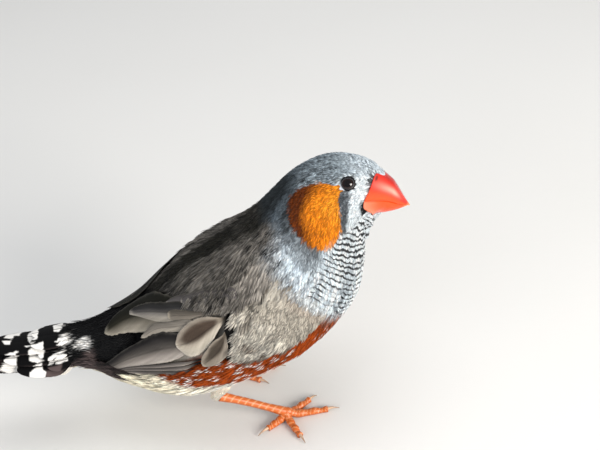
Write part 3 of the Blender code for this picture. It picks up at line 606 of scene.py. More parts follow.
@dataclass
class Stock:
    """Meshes that are gathered to become one piece."""

    points: list[Array] = field(default_factory=list)
    tris: list[Array] = field(default_factory=list)
    tint: list[Array] = field(default_factory=list)
    vane: list[Array] = field(default_factory=list)
    bake: list[Array] = field(default_factory=list)
    bars: list[Array] = field(default_factory=list)
    count: int = 0

    def add(
        self, points: Array, tris: Array, tint: Array, vane: Array, bake: Array | None = None, bars: Array | None = None
    ) -> None:
        """Adds meshes of one make.

        Args:
            points: Places, as (meshes, vertices, 3) or (vertices, 3).
            tris: The triangles of one of them.
            tint: A linear colour for each vertex.
            vane: Millimetres across and along each feather, for its barbs.
            bake: The place of each vertex on the coat's unwrap, if it has one.
            bars: The count of bars and their strength at each vertex, if it has any.
        """
        points = np.asarray(points, float)
        if points.ndim == 2:
            points = points[None]
        meshes, size = points.shape[:2]
        offsets = self.count + size * np.arange(meshes)
        self.points.append(points.reshape(-1, 3))
        self.tris.append((np.asarray(tris)[None] + offsets[:, None, None]).reshape(-1, 3))
        self.tint.append(np.broadcast_to(tint, points.shape).reshape(-1, 3))
        self.vane.append(np.asarray(vane, float).reshape(-1, 2))
        if bake is not None:
            self.bake.append(np.asarray(bake, float).reshape(-1, 2))
        bars = np.zeros((*points.shape[:2], 2)) if bars is None else bars
        self.bars.append(np.asarray(bars, float).reshape(-1, 2))
        self.count += meshes * size

    def piece(self, name: str, form: Form) -> bpy.types.Object:
        """Writes what was gathered as one object.

        Args:
            name: The piece's name.
            form: The shape whose frame the points are in.

        Returns:
            The new object, with its colours and maps.
        """
        maps = {"Vane": np.concatenate(self.vane), "Bars": np.concatenate(self.bars)}
        if self.bake:
            maps = {"OFBake": np.concatenate(self.bake)} | maps
        points = form.to_model(np.concatenate(self.points))
        return write_mesh(name, points, np.concatenate(self.tris), np.concatenate(self.tint), maps)


def write_mesh(
    name: str, points: Array, tris: Array, tint: Array, maps: dict[str, Array] | None = None
) -> bpy.types.Object:
    """Makes an object of triangles.

    Args:
        name: Its name.
        points: Places in metres.
        tris: Three vertex numbers a triangle.
        tint: A linear colour a vertex.
        maps: The names of its maps, with a pair of numbers a vertex for each.

    Returns:
        The object, linked to the scene and smooth.
    """
    mesh = bpy.data.meshes.new(name)
    loops = tris.reshape(-1).astype(np.int32)
    mesh.vertices.add(len(points))
    mesh.vertices.foreach_set("co", points.reshape(-1).astype(np.float32))
    mesh.loops.add(len(loops))
    mesh.loops.foreach_set("vertex_index", loops)
    mesh.polygons.add(len(tris))
    mesh.polygons.foreach_set("loop_start", np.arange(0, len(loops), 3, dtype=np.int32))
    mesh.update(calc_edges=True)
    colours = mesh.color_attributes.new("Tint", "FLOAT_COLOR", "POINT")
    rgba = np.concatenate([np.clip(tint, 0.0, 1.0), np.ones((len(tint), 1))], axis=1)
    colours.data.foreach_set("color", rgba.reshape(-1).astype(np.float32))
    for title, pairs in (maps or {}).items():
        layer = mesh.uv_layers.new(name=title)
        layer.data.foreach_set("uv", pairs[loops].reshape(-1).astype(np.float32))
    mesh.shade_smooth()
    mesh.validate()
    obj = bpy.data.objects.new(name, mesh)
    bpy.context.scene.collection.objects.link(obj)
    return obj


def settle(piece: bpy.types.Object, slot: str, *nodes: str) -> bpy.types.Object:
    """Fixes a piece to the bird: its body, and the solids that it stands for, which it hides."""
    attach(piece, BODY)
    if nodes:
        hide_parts(*nodes)
    LOG.info("%s: %d faces", piece.name, len(piece.data.polygons))
    return piece


class Nodes:
    """A short way to write a material's node tree."""

    def __init__(self, name: str) -> None:
        """Starts a material with its shader."""
        self.material = bpy.data.materials.new(name)
        self.material.use_nodes = True
        self.tree = self.material.node_tree
        self.shader = self.tree.nodes["Principled BSDF"]

    def new(self, kind: str, **settings: object) -> bpy.types.Node:
        """A new node with some of its settings."""
        node = self.tree.nodes.new(kind)
        for key, value in settings.items():
            setattr(node, key, value)
        return node

    def link(self, source: bpy.types.NodeSocket, target: bpy.types.NodeSocket) -> None:
        """Joins two sockets."""
        self.tree.links.new(source, target)

    def math(self, operation: str, *values: object) -> bpy.types.NodeSocket:
        """The result of a sum on sockets or numbers."""
        node = self.new("ShaderNodeMath", operation=operation)
        for number, value in enumerate(values):
            if isinstance(value, (int, float)):
                node.inputs[number].default_value = value
            else:
                self.link(value, node.inputs[number])
        return node.outputs[0]

    def tint(self) -> bpy.types.NodeSocket:
        """The colour painted on the mesh."""
        return self.new("ShaderNodeAttribute", attribute_name="Tint").outputs["Color"]

    def shade(self, colour: bpy.types.NodeSocket, share: bpy.types.NodeSocket, low: float, high: float) -> None:
        """Sets the base colour to colour times a number that runs from low to high with share."""
        factor = self.math("MULTIPLY_ADD", share, high - low, low)
        node = self.new("ShaderNodeMix", data_type="RGBA", blend_type="MULTIPLY")
        node.inputs["Factor"].default_value = 1.0
        self.link(colour, node.inputs[6])
        self.link(factor, node.inputs[7])
        self.link(node.outputs[2], self.shader.inputs["Base Color"])

    def bump(self, height: bpy.types.NodeSocket, distance: float, strength: float = 1.0) -> None:
        """Raises the surface by a height."""
        node = self.new("ShaderNodeBump")
        node.inputs["Distance"].default_value = distance
        node.inputs["Strength"].default_value = strength
        self.link(height, node.inputs["Height"])
        self.link(node.outputs["Normal"], self.shader.inputs["Normal"])

    def noise(self, scale: float, detail: float = 3.0, stretch: tuple = (1.0, 1.0, 1.0)) -> bpy.types.NodeSocket:
        """Noise fixed to the object, with scale lumps a metre."""
        place = self.new("ShaderNodeTexCoord").outputs["Object"]
        mapping = self.new("ShaderNodeMapping")
        mapping.inputs["Scale"].default_value = stretch
        self.link(place, mapping.inputs["Vector"])
        node = self.new("ShaderNodeTexNoise")
        node.inputs["Scale"].default_value = scale
        node.inputs["Detail"].default_value = detail
        self.link(mapping.outputs["Vector"], node.inputs["Vector"])
        return node.outputs["Fac"]

    def set(self, **values: float) -> None:
        """Sets the shader's own sockets, with _ for a space in their names."""
        for key, value in values.items():
            self.shader.inputs[key.replace("_", " ")].default_value = value


@dataclass(frozen=True)
class FeatherFinish:
    """Barbed feather: the painted colour, with fine slanting barbs that catch the light."""

    name: str
    barb_pitch: float = 0.2
    slant: float = 1.3
    contrast: float = 0.16
    relief: float = 0.00005
    roughness: float = 0.68
    sheen: float = 0.04

    def make(self) -> bpy.types.Material:
        """Builds the material."""
        n = Nodes(self.name)
        pair = n.new("ShaderNodeSeparateXYZ")
        n.link(n.new("ShaderNodeUVMap", uv_map="Vane").outputs["UV"], pair.inputs[0])
        aside = n.math("ABSOLUTE", pair.outputs["X"])
        run = n.math("MULTIPLY_ADD", aside, -self.slant, pair.outputs["Y"])
        wobble = n.math("MULTIPLY_ADD", n.noise(900.0), 0.35, run)
        wave = n.math("SINE", n.math("MULTIPLY", wobble, 2.0 * math.pi / self.barb_pitch))
        ridge = n.math("MULTIPLY_ADD", wave, 0.5, 0.5)
        n.shade(self._barred(n), ridge, 1.0 - self.contrast, 1.0 + self.contrast * 0.6)
        n.bump(ridge, self.relief, 0.5)
        n.set(Roughness=self.roughness, Sheen_Weight=self.sheen, Sheen_Roughness=0.5)
        n.set(Specular_IOR_Level=0.1)
        return n.material

    @staticmethod
    def _barred(n: Nodes) -> bpy.types.NodeSocket:
        """The painted colour, darkened where one of the throat's bars crosses the feather."""
        pair = n.new("ShaderNodeSeparateXYZ")
        n.link(n.new("ShaderNodeUVMap", uv_map="Bars").outputs["UV"], pair.inputs[0])
        wave = n.math("SINE", n.math("MULTIPLY", pair.outputs["X"], 2.0 * math.pi))
        strength = pair.outputs["Y"]
        height = n.math("MULTIPLY_ADD", wave, 2.2, n.math("MULTIPLY_ADD", strength, 2.2, -1.6))
        dark = n.math("MINIMUM", n.math("MAXIMUM", height, 0.0), n.math("MINIMUM", n.math("MULTIPLY", strength, 4.0), 0.95))
        mix = n.new("ShaderNodeMix", data_type="RGBA")
        n.link(dark, mix.inputs["Factor"])
        n.link(n.tint(), mix.inputs[6])
        mix.inputs[7].default_value = (*tone("141619"), 1.0)
        return mix.outputs[2]


@dataclass(frozen=True)
class HornFinish:
    """Bill: the painted colour under a glossy, faintly grooved horn."""

    name: str
    roughness: float = 0.24

    def make(self) -> bpy.types.Material:
        """Builds the material."""
        n = Nodes(self.name)
        mottle = n.noise(420.0, 4.0, (0.35, 1.0, 1.0))
        n.shade(n.tint(), mottle, 0.86, 1.12)
        n.bump(n.noise(1500.0, 3.0, (0.2, 1.0, 1.0)), 0.00006, 0.35)
        n.set(Roughness=self.roughness, Coat_Weight=0.3, Coat_Roughness=0.08, Specular_IOR_Level=0.3)
        n.set(Subsurface_Weight=0.06)
        n.shader.inputs["Subsurface Radius"].default_value = (0.0012, 0.0004, 0.0002)
        n.set(Subsurface_Scale=1.0)
        return n.material


@dataclass(frozen=True)
class LegFinish:
    """Leg: horny scutes with the painted colour, finely wrinkled."""

    name: str
    roughness: float = 0.42

    def make(self) -> bpy.types.Material:
        """Builds the material."""
        n = Nodes(self.name)
        n.shade(n.tint(), n.noise(1100.0, 4.0), 0.8, 1.16)
        n.bump(n.noise(3200.0, 2.0), 0.00006, 0.6)
        n.set(Roughness=self.roughness, Coat_Weight=0.1, Coat_Roughness=0.3, Subsurface_Weight=0.08)
        n.shader.inputs["Subsurface Radius"].default_value = (0.0008, 0.0003, 0.0002)
        return n.material


@dataclass(frozen=True)
class EyeFinish:
    """Eye: the painted iris and pupil under a wet, clear surface."""

    name: str

    def make(self) -> bpy.types.Material:
        """Builds the material."""
        n = Nodes(self.name)
        n.shade(n.tint(), n.noise(2600.0, 3.0), 0.75, 1.25)
        n.set(Roughness=0.07, Coat_Weight=0.15, Coat_Roughness=0.02, Specular_IOR_Level=0.35)
        return n.material


@dataclass(frozen=True)
class FloorFinish:
    """Floor: matt, pale and very faintly clouded."""

    name: str

    def make(self) -> bpy.types.Material:
        """Builds the material."""
        n = Nodes(self.name)
        ramp = n.new("ShaderNodeValToRGB")
        ramp.color_ramp.elements[0].color = (*tone("dddcd8"), 1.0)
        ramp.color_ramp.elements[1].color = (*tone("e6e5e2"), 1.0)
        n.link(n.noise(6.0, 3.0), ramp.inputs["Fac"])
        n.link(ramp.outputs["Color"], n.shader.inputs["Base Color"])
        n.bump(n.noise(400.0, 3.0), 0.0002, 0.2)
        n.set(Roughness=0.8)
        return n.material


@dataclass
class Wing:
    """A folded wing: flight feathers and coverts in tiers, each a vane of its own."""

    form: Form
    palette: Palette
    side: Side
    seed: int = 11

    # The plate that the wing fills, as degrees from the back at even steps from its rear to the bend.
    plate_from: float = INDEX["tail_root"] + 1.2
    plate_to: float = INDEX["shoulder"] - 0.2
    plate_top: tuple[float, ...] = (38.0, 26.0, 22.0, 26.0, 34.0, 54.0, 88.0)
    plate_foot: tuple[float, ...] = (92.0, 93.0, 98.0, 104.0, 111.0, 115.0, 110.0)

    def edges(self, u: Array) -> tuple[Array, Array]:
        """The wing's upper and lower edge at u, in degrees from the back."""
        share = np.clip((np.asarray(u, float) - self.plate_from) / (self.plate_to - self.plate_from), 0.0, 1.0)
        at = share * (len(self.plate_top) - 1)
        return along(self.plate_top, at), along(self.plate_foot, at)


@dataclass(frozen=True)
class Dye:
    """The colours across a wing feather, from its upper edge at -1 to its lower edge at 1."""

    stops: tuple[tuple[float, str], ...]
    rim: str = "b5ac9e"
    rimmed: float = 0.4
    heart: str = ""
    tip_from: float = 0.87


class Web(Enum):
    """The kinds of wing feather, each with its colours, and a near-black strip of painted shadow."""

    # The primaries' dark upper edges are partly their dark inner webs and partly painted shade under the feather above.
    PRIMARY = Dye(((-1, "1d1b1a"), (-0.5, "4f4a47"), (0.3, "8a827b"), (1, "a0978d")), "b4aba0", 0.5)
    # The panel's upper edge runs to near black as painted shade under the tertials.
    PANEL = Dye(
        ((-1, "0c0b0b"), (-0.6, "1f1d1d"), (-0.15, "47433f"), (0.3, "79726b"), (0.75, "a09890"), (1, "b1a99e")),
        "c3bbaf", 0.4, tip_from=0.93,
    )
    # The olive tertial's dark upper half is painted shade.
    OLIVE = Dye(
        ((-1, "0f0f0a"), (-0.3, "1a1912"), (0.1, "2c2a21"), (0.5, "6b655a"), (1, "a29a8b")), "a8a293", 0.6,
    )
    TAUPE = Dye(((-1, "5f5a53"), (0, "837c72"), (1, "9b9386")), "b7ae9f", 0.5)
    SHADED = Dye(((-1, "1e1d19"), (-0.45, "2b2a2a"), (0, "55524f"), (0.45, "89837a"), (1, "9d9587")), "c4bcae", 0.6)
    RIMMED = Dye(((-1, "3d3933"), (0, "665f56"), (1, "857d71")), "c2b7a4", 0.95)
    COVERT = Dye(((-1, "34312f"), (0, "5c5857"), (1, "7f786f")), "b5ad9f", 0.95)
    LARGE = Dye(((-1, "8d8376"), (0, "978d7f"), (1, "bdb5a6")), "d3cabb", 0.8, "40332a")
    SECOND = Dye(((-1, "8a8073"), (0, "6f665b"), (1, "8f867a")), "bcb2a3", 0.8, "403830")
    # A near-black dye for a strip of painted shadow in the gap before the greater coverts.
    DARK = Dye(((-1, "0b0a0a"), (1, "0b0a0a")), "0b0a0a", 0.0)
    LOBE = Dye(((-1, "c3bdb0"), (1, "c3bdb0")))


@dataclass(frozen=True)
class Quill:
    """A wing feather: its height over the skin, and its upper and its lower edge, both from root to tip.

    The edges are places on the skin, u and degrees from the back.
    """

    web: Web
    lift: float
    upper: tuple[tuple[float, float], ...]
    lower: tuple[tuple[float, float], ...]


# The wing's feathers, and one strip of painted shadow, from the lowest layer to the uppermost.
WING_QUILLS = (
    Quill(Web.PRIMARY, 0.5, ((5.1, 88), (4.51, 84), (3.77, 82), (3.23, 86), (2.78, 94)),
          ((4.91, 98), (4.35, 94), (3.8, 90), (3.28, 92), (2.66, 104))),
    Quill(Web.PRIMARY, 0.58, ((5.17, 84), (4.57, 80), (3.81, 78), (3.26, 82), (2.78, 92)),
          ((5.03, 91), (4.46, 87), (3.86, 84), (3.32, 87), (2.68, 101))),
    Quill(Web.PRIMARY, 0.66, ((5.23, 82), (4.64, 76), (3.85, 74), (3.28, 79), (2.76, 91)),
          ((5.11, 87), (4.53, 82), (3.91, 80), (3.35, 83), (2.68, 98))),
    Quill(Web.PANEL, 0.76, ((5.92, 57), (5.07, 51), (4.17, 46), (3.31, 56), (2.52, 84)),
          ((5.32, 81), (4.65, 76), (3.9, 75), (3.2, 83), (2.42, 108))),
    Quill(Web.OLIVE, 0.84, ((6.06, 33), (5.04, 14), (4.15, 4), (3.4, 5), (2.93, 17)),
          ((5.52, 57), (4.82, 50), (4.1, 42), (3.43, 36), (2.76, 36))),
    Quill(Web.TAUPE, 0.92, ((6.07, 54), (5.55, 48), (4.97, 43), (4.44, 38), (3.96, 42)),
          ((5.85, 63), (5.42, 57), (4.96, 52), (4.45, 48), (3.86, 47))),
    Quill(Web.SHADED, 1.0, ((6.32, 44), (5.78, 36), (5.08, 27), (4.27, 15), (3.7, 10)),
          ((5.99, 57), (5.5, 51), (4.96, 44), (4.34, 34), (3.67, 20))),
    Quill(Web.RIMMED, 1.08, ((6.83, 58), (6.39, 54), (5.92, 48), (5.48, 40), (5.09, 34)),
          ((6.77, 61), (6.36, 57), (5.88, 52), (5.35, 48), (4.92, 41))),
    Quill(Web.COVERT, 1.06, ((6.32, 37), (6.06, 34), (5.77, 31), (5.43, 28), (5.11, 27)),
          ((6.07, 48), (5.81, 46), (5.56, 41), (5.35, 35), (5.08, 29))),
    Quill(Web.COVERT, 1.14, ((6.68, 42), (6.46, 38), (6.21, 35), (5.92, 33), (5.64, 32)),
          ((6.37, 54), (6.14, 52), (5.9, 49), (5.67, 44), (5.54, 37))),
    Quill(Web.COVERT, 1.22, ((7.0, 47), (6.81, 42), (6.58, 39), (6.31, 36), (6.0, 36)),
          ((6.73, 57), (6.5, 55), (6.29, 52), (6.07, 47), (5.9, 40))),
    Quill(Web.COVERT, 1.3, ((7.22, 50), (7.09, 46), (6.93, 44), (6.66, 41), (6.34, 41)),
          ((6.96, 60), (6.79, 58), (6.62, 56), (6.43, 51), (6.27, 44))),
    # This strip is not a feather but painted shadow along the gap before the greater coverts.
    Quill(Web.DARK, 0.8, ((6.6, 60), (6.42, 70), (6.2, 82), (5.95, 96)), ((6.38, 60), (6.15, 70), (5.9, 82), (5.6, 96))),
    Quill(Web.LARGE, 1.12, ((6.5, 60), (6.22, 55), (5.75, 51), (5.26, 52), (4.88, 58)),
          ((6.43, 65), (6.0, 69), (5.5, 75), (5.06, 76), (4.81, 66))),
    Quill(Web.SECOND, 1.24, ((6.34, 66), (6.03, 70), (5.72, 72), (5.43, 76), (5.21, 80)),
          ((6.21, 72), (6.04, 80), (5.81, 87), (5.46, 90), (5.12, 89))),
)


@dataclass
class WingFeathers(Wing):
    """The feathers of one wing as one piece."""

    # The far wing hugs the back, so that it keeps behind the body's outline.
    far_lift: float = 0.7

    def build(self) -> bpy.types.Object:
        """Makes every feather and writes the piece."""
        rng = np.random.default_rng(self.seed)
        stock = Stock()
        for quill in WING_QUILLS:
            shape = VaneShape(60, 19, 0, blade=1.0, rise=0.06, fray=0.022, tip_from=quill.web.value.tip_from)
            self._lay(stock, quill, shape, rng)
        piece = stock.piece("wing_feathers_" + self.side.label, self.form)
        return settle(piece, "wing_feathers", "wing_" + self.side.label)

    def _lay(self, stock: Stock, quill: Quill, shape: VaneShape, rng: np.random.Generator) -> None:
        """Lays one feather on the skin, between its two edges."""
        vane = shape.build(rng)
        t, steps = vane.along, len(quill.upper) - 1
        share = (1.0 + vane.across) / 2.0
        edges = [[along([point[k] for point in edge], t * steps) for k in (0, 1)] for edge in (quill.upper, quill.lower)]
        u, degrees = (edges[0][k] + (edges[1][k] - edges[0][k]) * share for k in (0, 1))
        theta = np.radians(degrees) * -self.side.value
        lift = quill.lift * (self.far_lift if self.side is Side.LEFT else 1.0)
        rise = lift - (lift + 0.6) * (1.0 - smooth(0.0, 0.2, t)) + vane.rise
        rise = rise - 0.18 * vane.across - 0.1 * vane.across**2
        by_u, by_theta = self.form.measure(u, theta)
        wide = np.hypot((edges[1][0] - edges[0][0]) * by_u, np.radians(edges[1][1] - edges[0][1]) * by_theta) / 2.0
        length = abs(quill.upper[0][0] - quill.upper[-1][0]) * float(by_u.mean())
        flow = np.stack([vane.across * wide, t * length], -1)
        near_edge = np.abs(vane.across) / shape.width(t)
        stock.add(self.form.skin(u, theta, rise), vane.tris, self._paint(quill.web.value, vane, near_edge, rng), flow)

    @staticmethod
    def _paint(dye: Dye, vane: VaneMesh, near_edge: Array, rng: np.random.Generator) -> Array:
        """The colour of one feather's vertices.

        Args:
            dye: The feather's colours.
            vane: Its mesh.
            near_edge: 1 on the feather's outline, 0 at its shaft.
            rng: Where its small irregularities come from.

        Returns:
            A linear colour for each vertex.
        """
        cloud = grain(vane.across * 2.2 + 9.0 * rng.random(), vane.along * 7.0, 3)
        across = np.clip(vane.across + 0.2 * (cloud - 0.5), -1.0, 1.0)
        tones = np.array([tone(code) for _, code in dye.stops])
        colour = np.stack([np.interp(across, [at for at, _ in dye.stops], tones[:, k]) for k in range(3)], -1)
        if dye.heart:
            away = np.hypot((vane.across + 0.25) / 0.62, (vane.along - 0.5) / 0.44)
            colour = blend(colour, tone(dye.heart), 0.95 * smooth(1.05, 0.55, away + 0.2 * (cloud - 0.5)))
        rim = np.maximum(smooth(0.86, 0.98, near_edge), smooth(0.93, 1.0, vane.along))
        rim = rim * (0.4 + 0.6 * grain(vane.along * 22.0, vane.across * 3.0, 4)) * (0.4 + 0.6 * smooth(-0.6, 0.2, vane.across))
        colour = blend(colour, tone(dye.rim), dye.rimmed * rim)
        # Faint streaks from the shaft outwards, as the barbs part.
        part = grain(vane.along * 30.0 - 9.0 * np.abs(vane.across), vane.across * 1.5 + 5.0, 14)
        run = grain(vane.across * 7.0 + 3.0, vane.along * 3.0, 15)
        colour = colour * (0.68 + 0.36 * part + 0.28 * run)[:, None]
        colour = colour * (1.0 - 0.35 * smooth(0.06, 0.02, np.abs(vane.across)))[:, None]
        # Darker towards the root: painted shade under the overlapping feathers.
        return colour * (0.2 + 0.8 * smooth(0.02, 0.2, vane.along))[:, None]


@dataclass(frozen=True)
class Tract:
    """A field of small feathers with one lie.

    Places are u and degrees. lengths, spacing and widths are factors on the coat's own, turn is how far the
    feathers' tips point down, in degrees. tips gives their height over the surface.
    """

    name: str
    u_from: float
    u_to: float
    theta_from: float
    theta_to: float
    tips: Callable[[Array, Array], Array]
    shape: VaneShape
    keep: Callable[[Array, Array], Array]
    sunk: float = 0.9
    turn: float = 0.0
    lengths: float = 1.0
    spacing: float = 1.0
    widths: float = 1.0
    web: Web | None = None


def wing_foot(u: Array) -> Array:
    """The lowest line on which the wing still shows, in degrees from the back."""
    return np.interp(u, [4.15, 4.85, 5.6, 6.03, 6.6, 6.98, 7.4, 7.8], [94, 98, 100, 104, 112, 119, 124, 124])


def bill_edge(degrees: Array) -> Array:
    """Where the feathers end at the bill, as u at each angle from the back."""
    angles = [0, 26, 35, 42, 69, 91, 98, 104, 111, 116, 124, 135, 155, 180]
    return np.interp(degrees, angles, [13, 13, 12.88, 12.55, 12.3, 12.03, 11.78, 11.52, 11.38, 11.5, 12.0, 12.6, 13, 13])


def slit(degrees: Array) -> Array:
    """The gap in shade between the wing's coverts and the breast's side feathers, as u at each angle."""
    return np.interp(degrees, [60.0, 64.0, 80.0, 92.0, 100.0], [6.48, 6.42, 6.06, 5.78, 5.55])


@dataclass
class Coat:
    """The small feathers of the body, neck and head."""

    form: Form
    palette: Palette
    markings: Markings
    wing: Wing
    seed: int = 7
    variants: int = 6
    patch: float = 0.003
    eye_clear: float = 1.42

    # Length and spacing of the feathers in millimetres at each station, from the tail's end to the bill.
    length: tuple[float, ...] = (8.0, 8.0, 7.5, 7.0, 6.4, 5.8, 5.4, 5.0, 4.2, 3.2, 2.5, 2.0, 1.6, 1.2)
    gaps: tuple[float, ...] = (2.0, 2.0, 1.7, 1.5, 1.35, 1.28, 1.22, 1.15, 1.0, 0.82, 0.68, 0.56, 0.48, 0.4)

    def tracts(self) -> list[Tract]:
        """The coat's fields, from the lowest to the uppermost."""
        body = VaneShape(rings=4, columns=3, barbs=4, aspect=3.6)
        soft = VaneShape(rings=4, columns=3, barbs=5, aspect=4.4, barb_width=0.17)

        def flat(u: Array, degrees: Array) -> Array:
            """Tips that lie flush with the surface."""
            return np.full(u.shape, -0.05)

        def off_wing(u: Array, degrees: Array) -> Array:
            """True outside the wing's plate, less a margin that the wing overlaps, and off the bill."""
            top, foot = self.wing.edges(u)
            inside = (u > self.wing.plate_from + 0.5) & (u < self.wing.plate_to - 0.1)
            return ~(inside & (degrees > top + 6.0) & (degrees < foot - 9.0)) & (u < bill_edge(degrees))

        def scapular(u: Array, degrees: Array) -> Array:
            """True above the line that the shoulder's feathers cover the wing to."""
            return degrees < 27.0 + 29.0 * smooth(5.8, 7.3, u)

        def lesser(u: Array, degrees: Array) -> Array:
            """True over the front of the wing."""
            top, _ = self.wing.edges(u)
            return (degrees > top - 4.0) & (degrees < wing_foot(u - 0.45) - 5.0) & (u > slit(degrees) + 0.6)

        def lobes(u: Array, degrees: Array) -> Array:
            """True where the breast's long side feathers are rooted, before the wing's bend."""
            return (degrees < wing_foot(u - 0.75) - 3.5) & (u > slit(degrees) + 0.6)

        def flank(u: Array, degrees: Array) -> Array:
            """True below the wing, where the flank's feathers cover its edge."""
            return (degrees > wing_foot(u) - 9.0) & (degrees < wing_foot(u) + 14.0)

        def fluff(u: Array, degrees: Array) -> Array:
            """True on the vent, where long, loose feathers hang."""
            return degrees > np.interp(u, [2.4, 3.4, 3.8, 4.2, 5.4], [86.0, 90.0, 106.0, 112.0, 142.0])

        def hang(u: Array, degrees: Array) -> Array:
            """Tips that stand off the vent."""
            side = 0.7 * smooth(3.9, 3.4, u) * smooth(128.0, 108.0, degrees)
            return (0.75 + side) * smooth(6.0, 5.0, u) * smooth(2.2, 2.9, u)

        def marks(u: Array, degrees: Array) -> Array:
            """True in the black marks of the face, whose feathers are short and dense."""
            stripe, gape = (within(u - 0.2, degrees, outline, 0.1) > 0.5 for outline in (STRIPE, GAPE))
            return (stripe | gape) & (u < bill_edge(degrees) + 0.05)

        over = self._over
        covert, lobe = Web.COVERT, Web.LOBE
        return [
            Tract("base", 2.1, 13.05, 0.0, 180.0, flat, body, off_wing),
            Tract("lesser", 6.5, 8.0, 40.0, 124.0, over(8.0, 1.3), body, lesser, 0.5, 6.0, 0.9, 0.95, 1.1, covert),
            Tract("lobes", 6.5, 7.9, 60.0, 124.0, over(7.9, 1.7), soft, lobes, 0.3, 8.0, 1.5, 0.85, 1.1, lobe),
            Tract("scapular", 6.0, 8.1, 8.0, 60.0, self._mantle, soft, scapular, 0.7, 12.0, 1.3, 0.85, 0.75),
            Tract("flank", 4.0, 7.6, 92.0, 145.0, over(7.6, 1.0), body, flank, 0.5, -4.0, 1.0, 0.95, 1.0),
            Tract("fluff", 2.4, 5.9, 86.0, 176.0, hang, soft, fluff, 0.5, 0.0, 1.25, 1.1, 1.0),
            Tract("marks", 9.5, 11.7, 70.0, 124.0, over(12.5, 0.12), body, marks, 0.9, 0.0, 0.6, 0.62, 0.7),
        ]

    @staticmethod
    def _over(front: float, height: float) -> Callable[[Array, Array], Array]:
        """Tips that rise from the surface at a tract's front edge to a height behind it."""
        return lambda u, degrees: height * smooth(front, front - 0.8, u)

    @staticmethod
    def _mantle(u: Array, degrees: Array) -> Array:
        """Tips of the shoulder's feathers: flush on the back, and over the wing at their lower edge."""
        return (0.25 + 1.25 * smooth(17.0, 35.0, degrees)) * smooth(8.1, 7.3, u)

    def build(self) -> list[bpy.types.Object]:
        """Lays every tract and writes the coat's pieces, each under the limit for one piece."""
        rng = np.random.default_rng(self.seed)
        stocks = {name: Stock() for name in self._piece_names()}
        for tract in self.tracts():
            vanes = [tract.shape.build(rng) for _ in range(self.variants)]
            for side in Side:
                self._lay(tract, side, vanes, rng, stocks)
        pieces = []
        for name, stock in stocks.items():
            slot = "head_feathers" if "head" in name else "neck_feathers" if "neck" in name else "torso_feathers"
            pieces.append(settle(stock.piece(name, self.form), slot))
        return pieces

    @staticmethod
    def _piece_names() -> list[str]:
        """The coat's pieces, by their part of the bird and its side."""
        parts = ("head", "neck", "breast", "back", "flank", "vent")
        return [f"coat_{part}_{side.label}" for part in parts for side in Side]

    @staticmethod
    def _part_of(u: Array, degrees: Array) -> Array:
        """The number of the part that each feather belongs to."""
        part = np.where(degrees < 62.0, 3, np.where(u > 6.2, 2, 4))
        part = np.where(u < 4.4, 5, part)
        return np.where(u > 10.1, 0, np.where(u > 8.3, 1, part))

    def _roots(self, tract: Tract, rng: np.random.Generator) -> tuple[Array, Array]:
        """Places of the feathers' roots on the right side, in staggered rows."""
        us: list[Array] = []
        degs: list[Array] = []
        u, row = tract.u_to, 0
        coarse = 1.0
        middle = np.radians((tract.theta_from + tract.theta_to) / 2.0)
        while u > tract.u_from:
            gap = float(along(self.gaps, u)) * tract.spacing * coarse
            by_u, _ = self.form.measure(np.array(u), middle)
            grid = np.radians(np.arange(tract.theta_from, tract.theta_to + 0.5, 1.0))
            run = np.cumsum(self.form.measure(np.full(grid.shape, u), grid)[1]) * math.radians(1.0)
            total = run[-1] - run[0]
            count = max(int(total / gap), 1)
            at = (np.arange(count) + 0.25 + 0.5 * (row % 2)) / count * total + run[0]
            at = at + rng.normal(0.0, 0.16 * gap, count)
            us.append(u + rng.normal(0.0, 0.2 * gap / by_u, count))
            degs.append(np.degrees(np.interp(at, run, grid)))
            u -= gap * 0.8 / by_u
            row += 1
        u_all, d_all = np.concatenate(us), np.concatenate(degs)
        kept = tract.keep(u_all, d_all)
        return u_all[kept], d_all[kept]

    def _lay(
        self, tract: Tract, side: Side, vanes: list[VaneMesh], rng: np.random.Generator, stocks: dict[str, Stock]
    ) -> None:
        """Lays one tract on one side, and sorts its feathers into the pieces."""
        u0, d0 = self._roots(tract, rng)
        turned = -side.value
        theta0 = np.radians(d0) * turned
        coarse = 1.0
        fluff = 1.0 + 0.35 * smooth(125.0, 160.0, d0) * smooth(7.2, 6.0, u0)
        length = along(self.length, u0) * tract.lengths * fluff * (1.0 + rng.normal(0.0, 0.08, u0.shape))
        width = along(self.gaps, u0) * 0.86 * tract.widths * coarse * (1.0 + rng.normal(0.0, 0.08, u0.shape))
        turn = np.radians(tract.turn + self._drift(u0, d0) + rng.normal(0.0, 5.0, u0.shape))
        raised = rng.normal(0.0, 0.07, u0.shape) * along(self.gaps, u0)
        kind = rng.integers(0, self.variants, u0.shape)
        lot = rng.uniform(-1.0, 1.0, u0.shape)
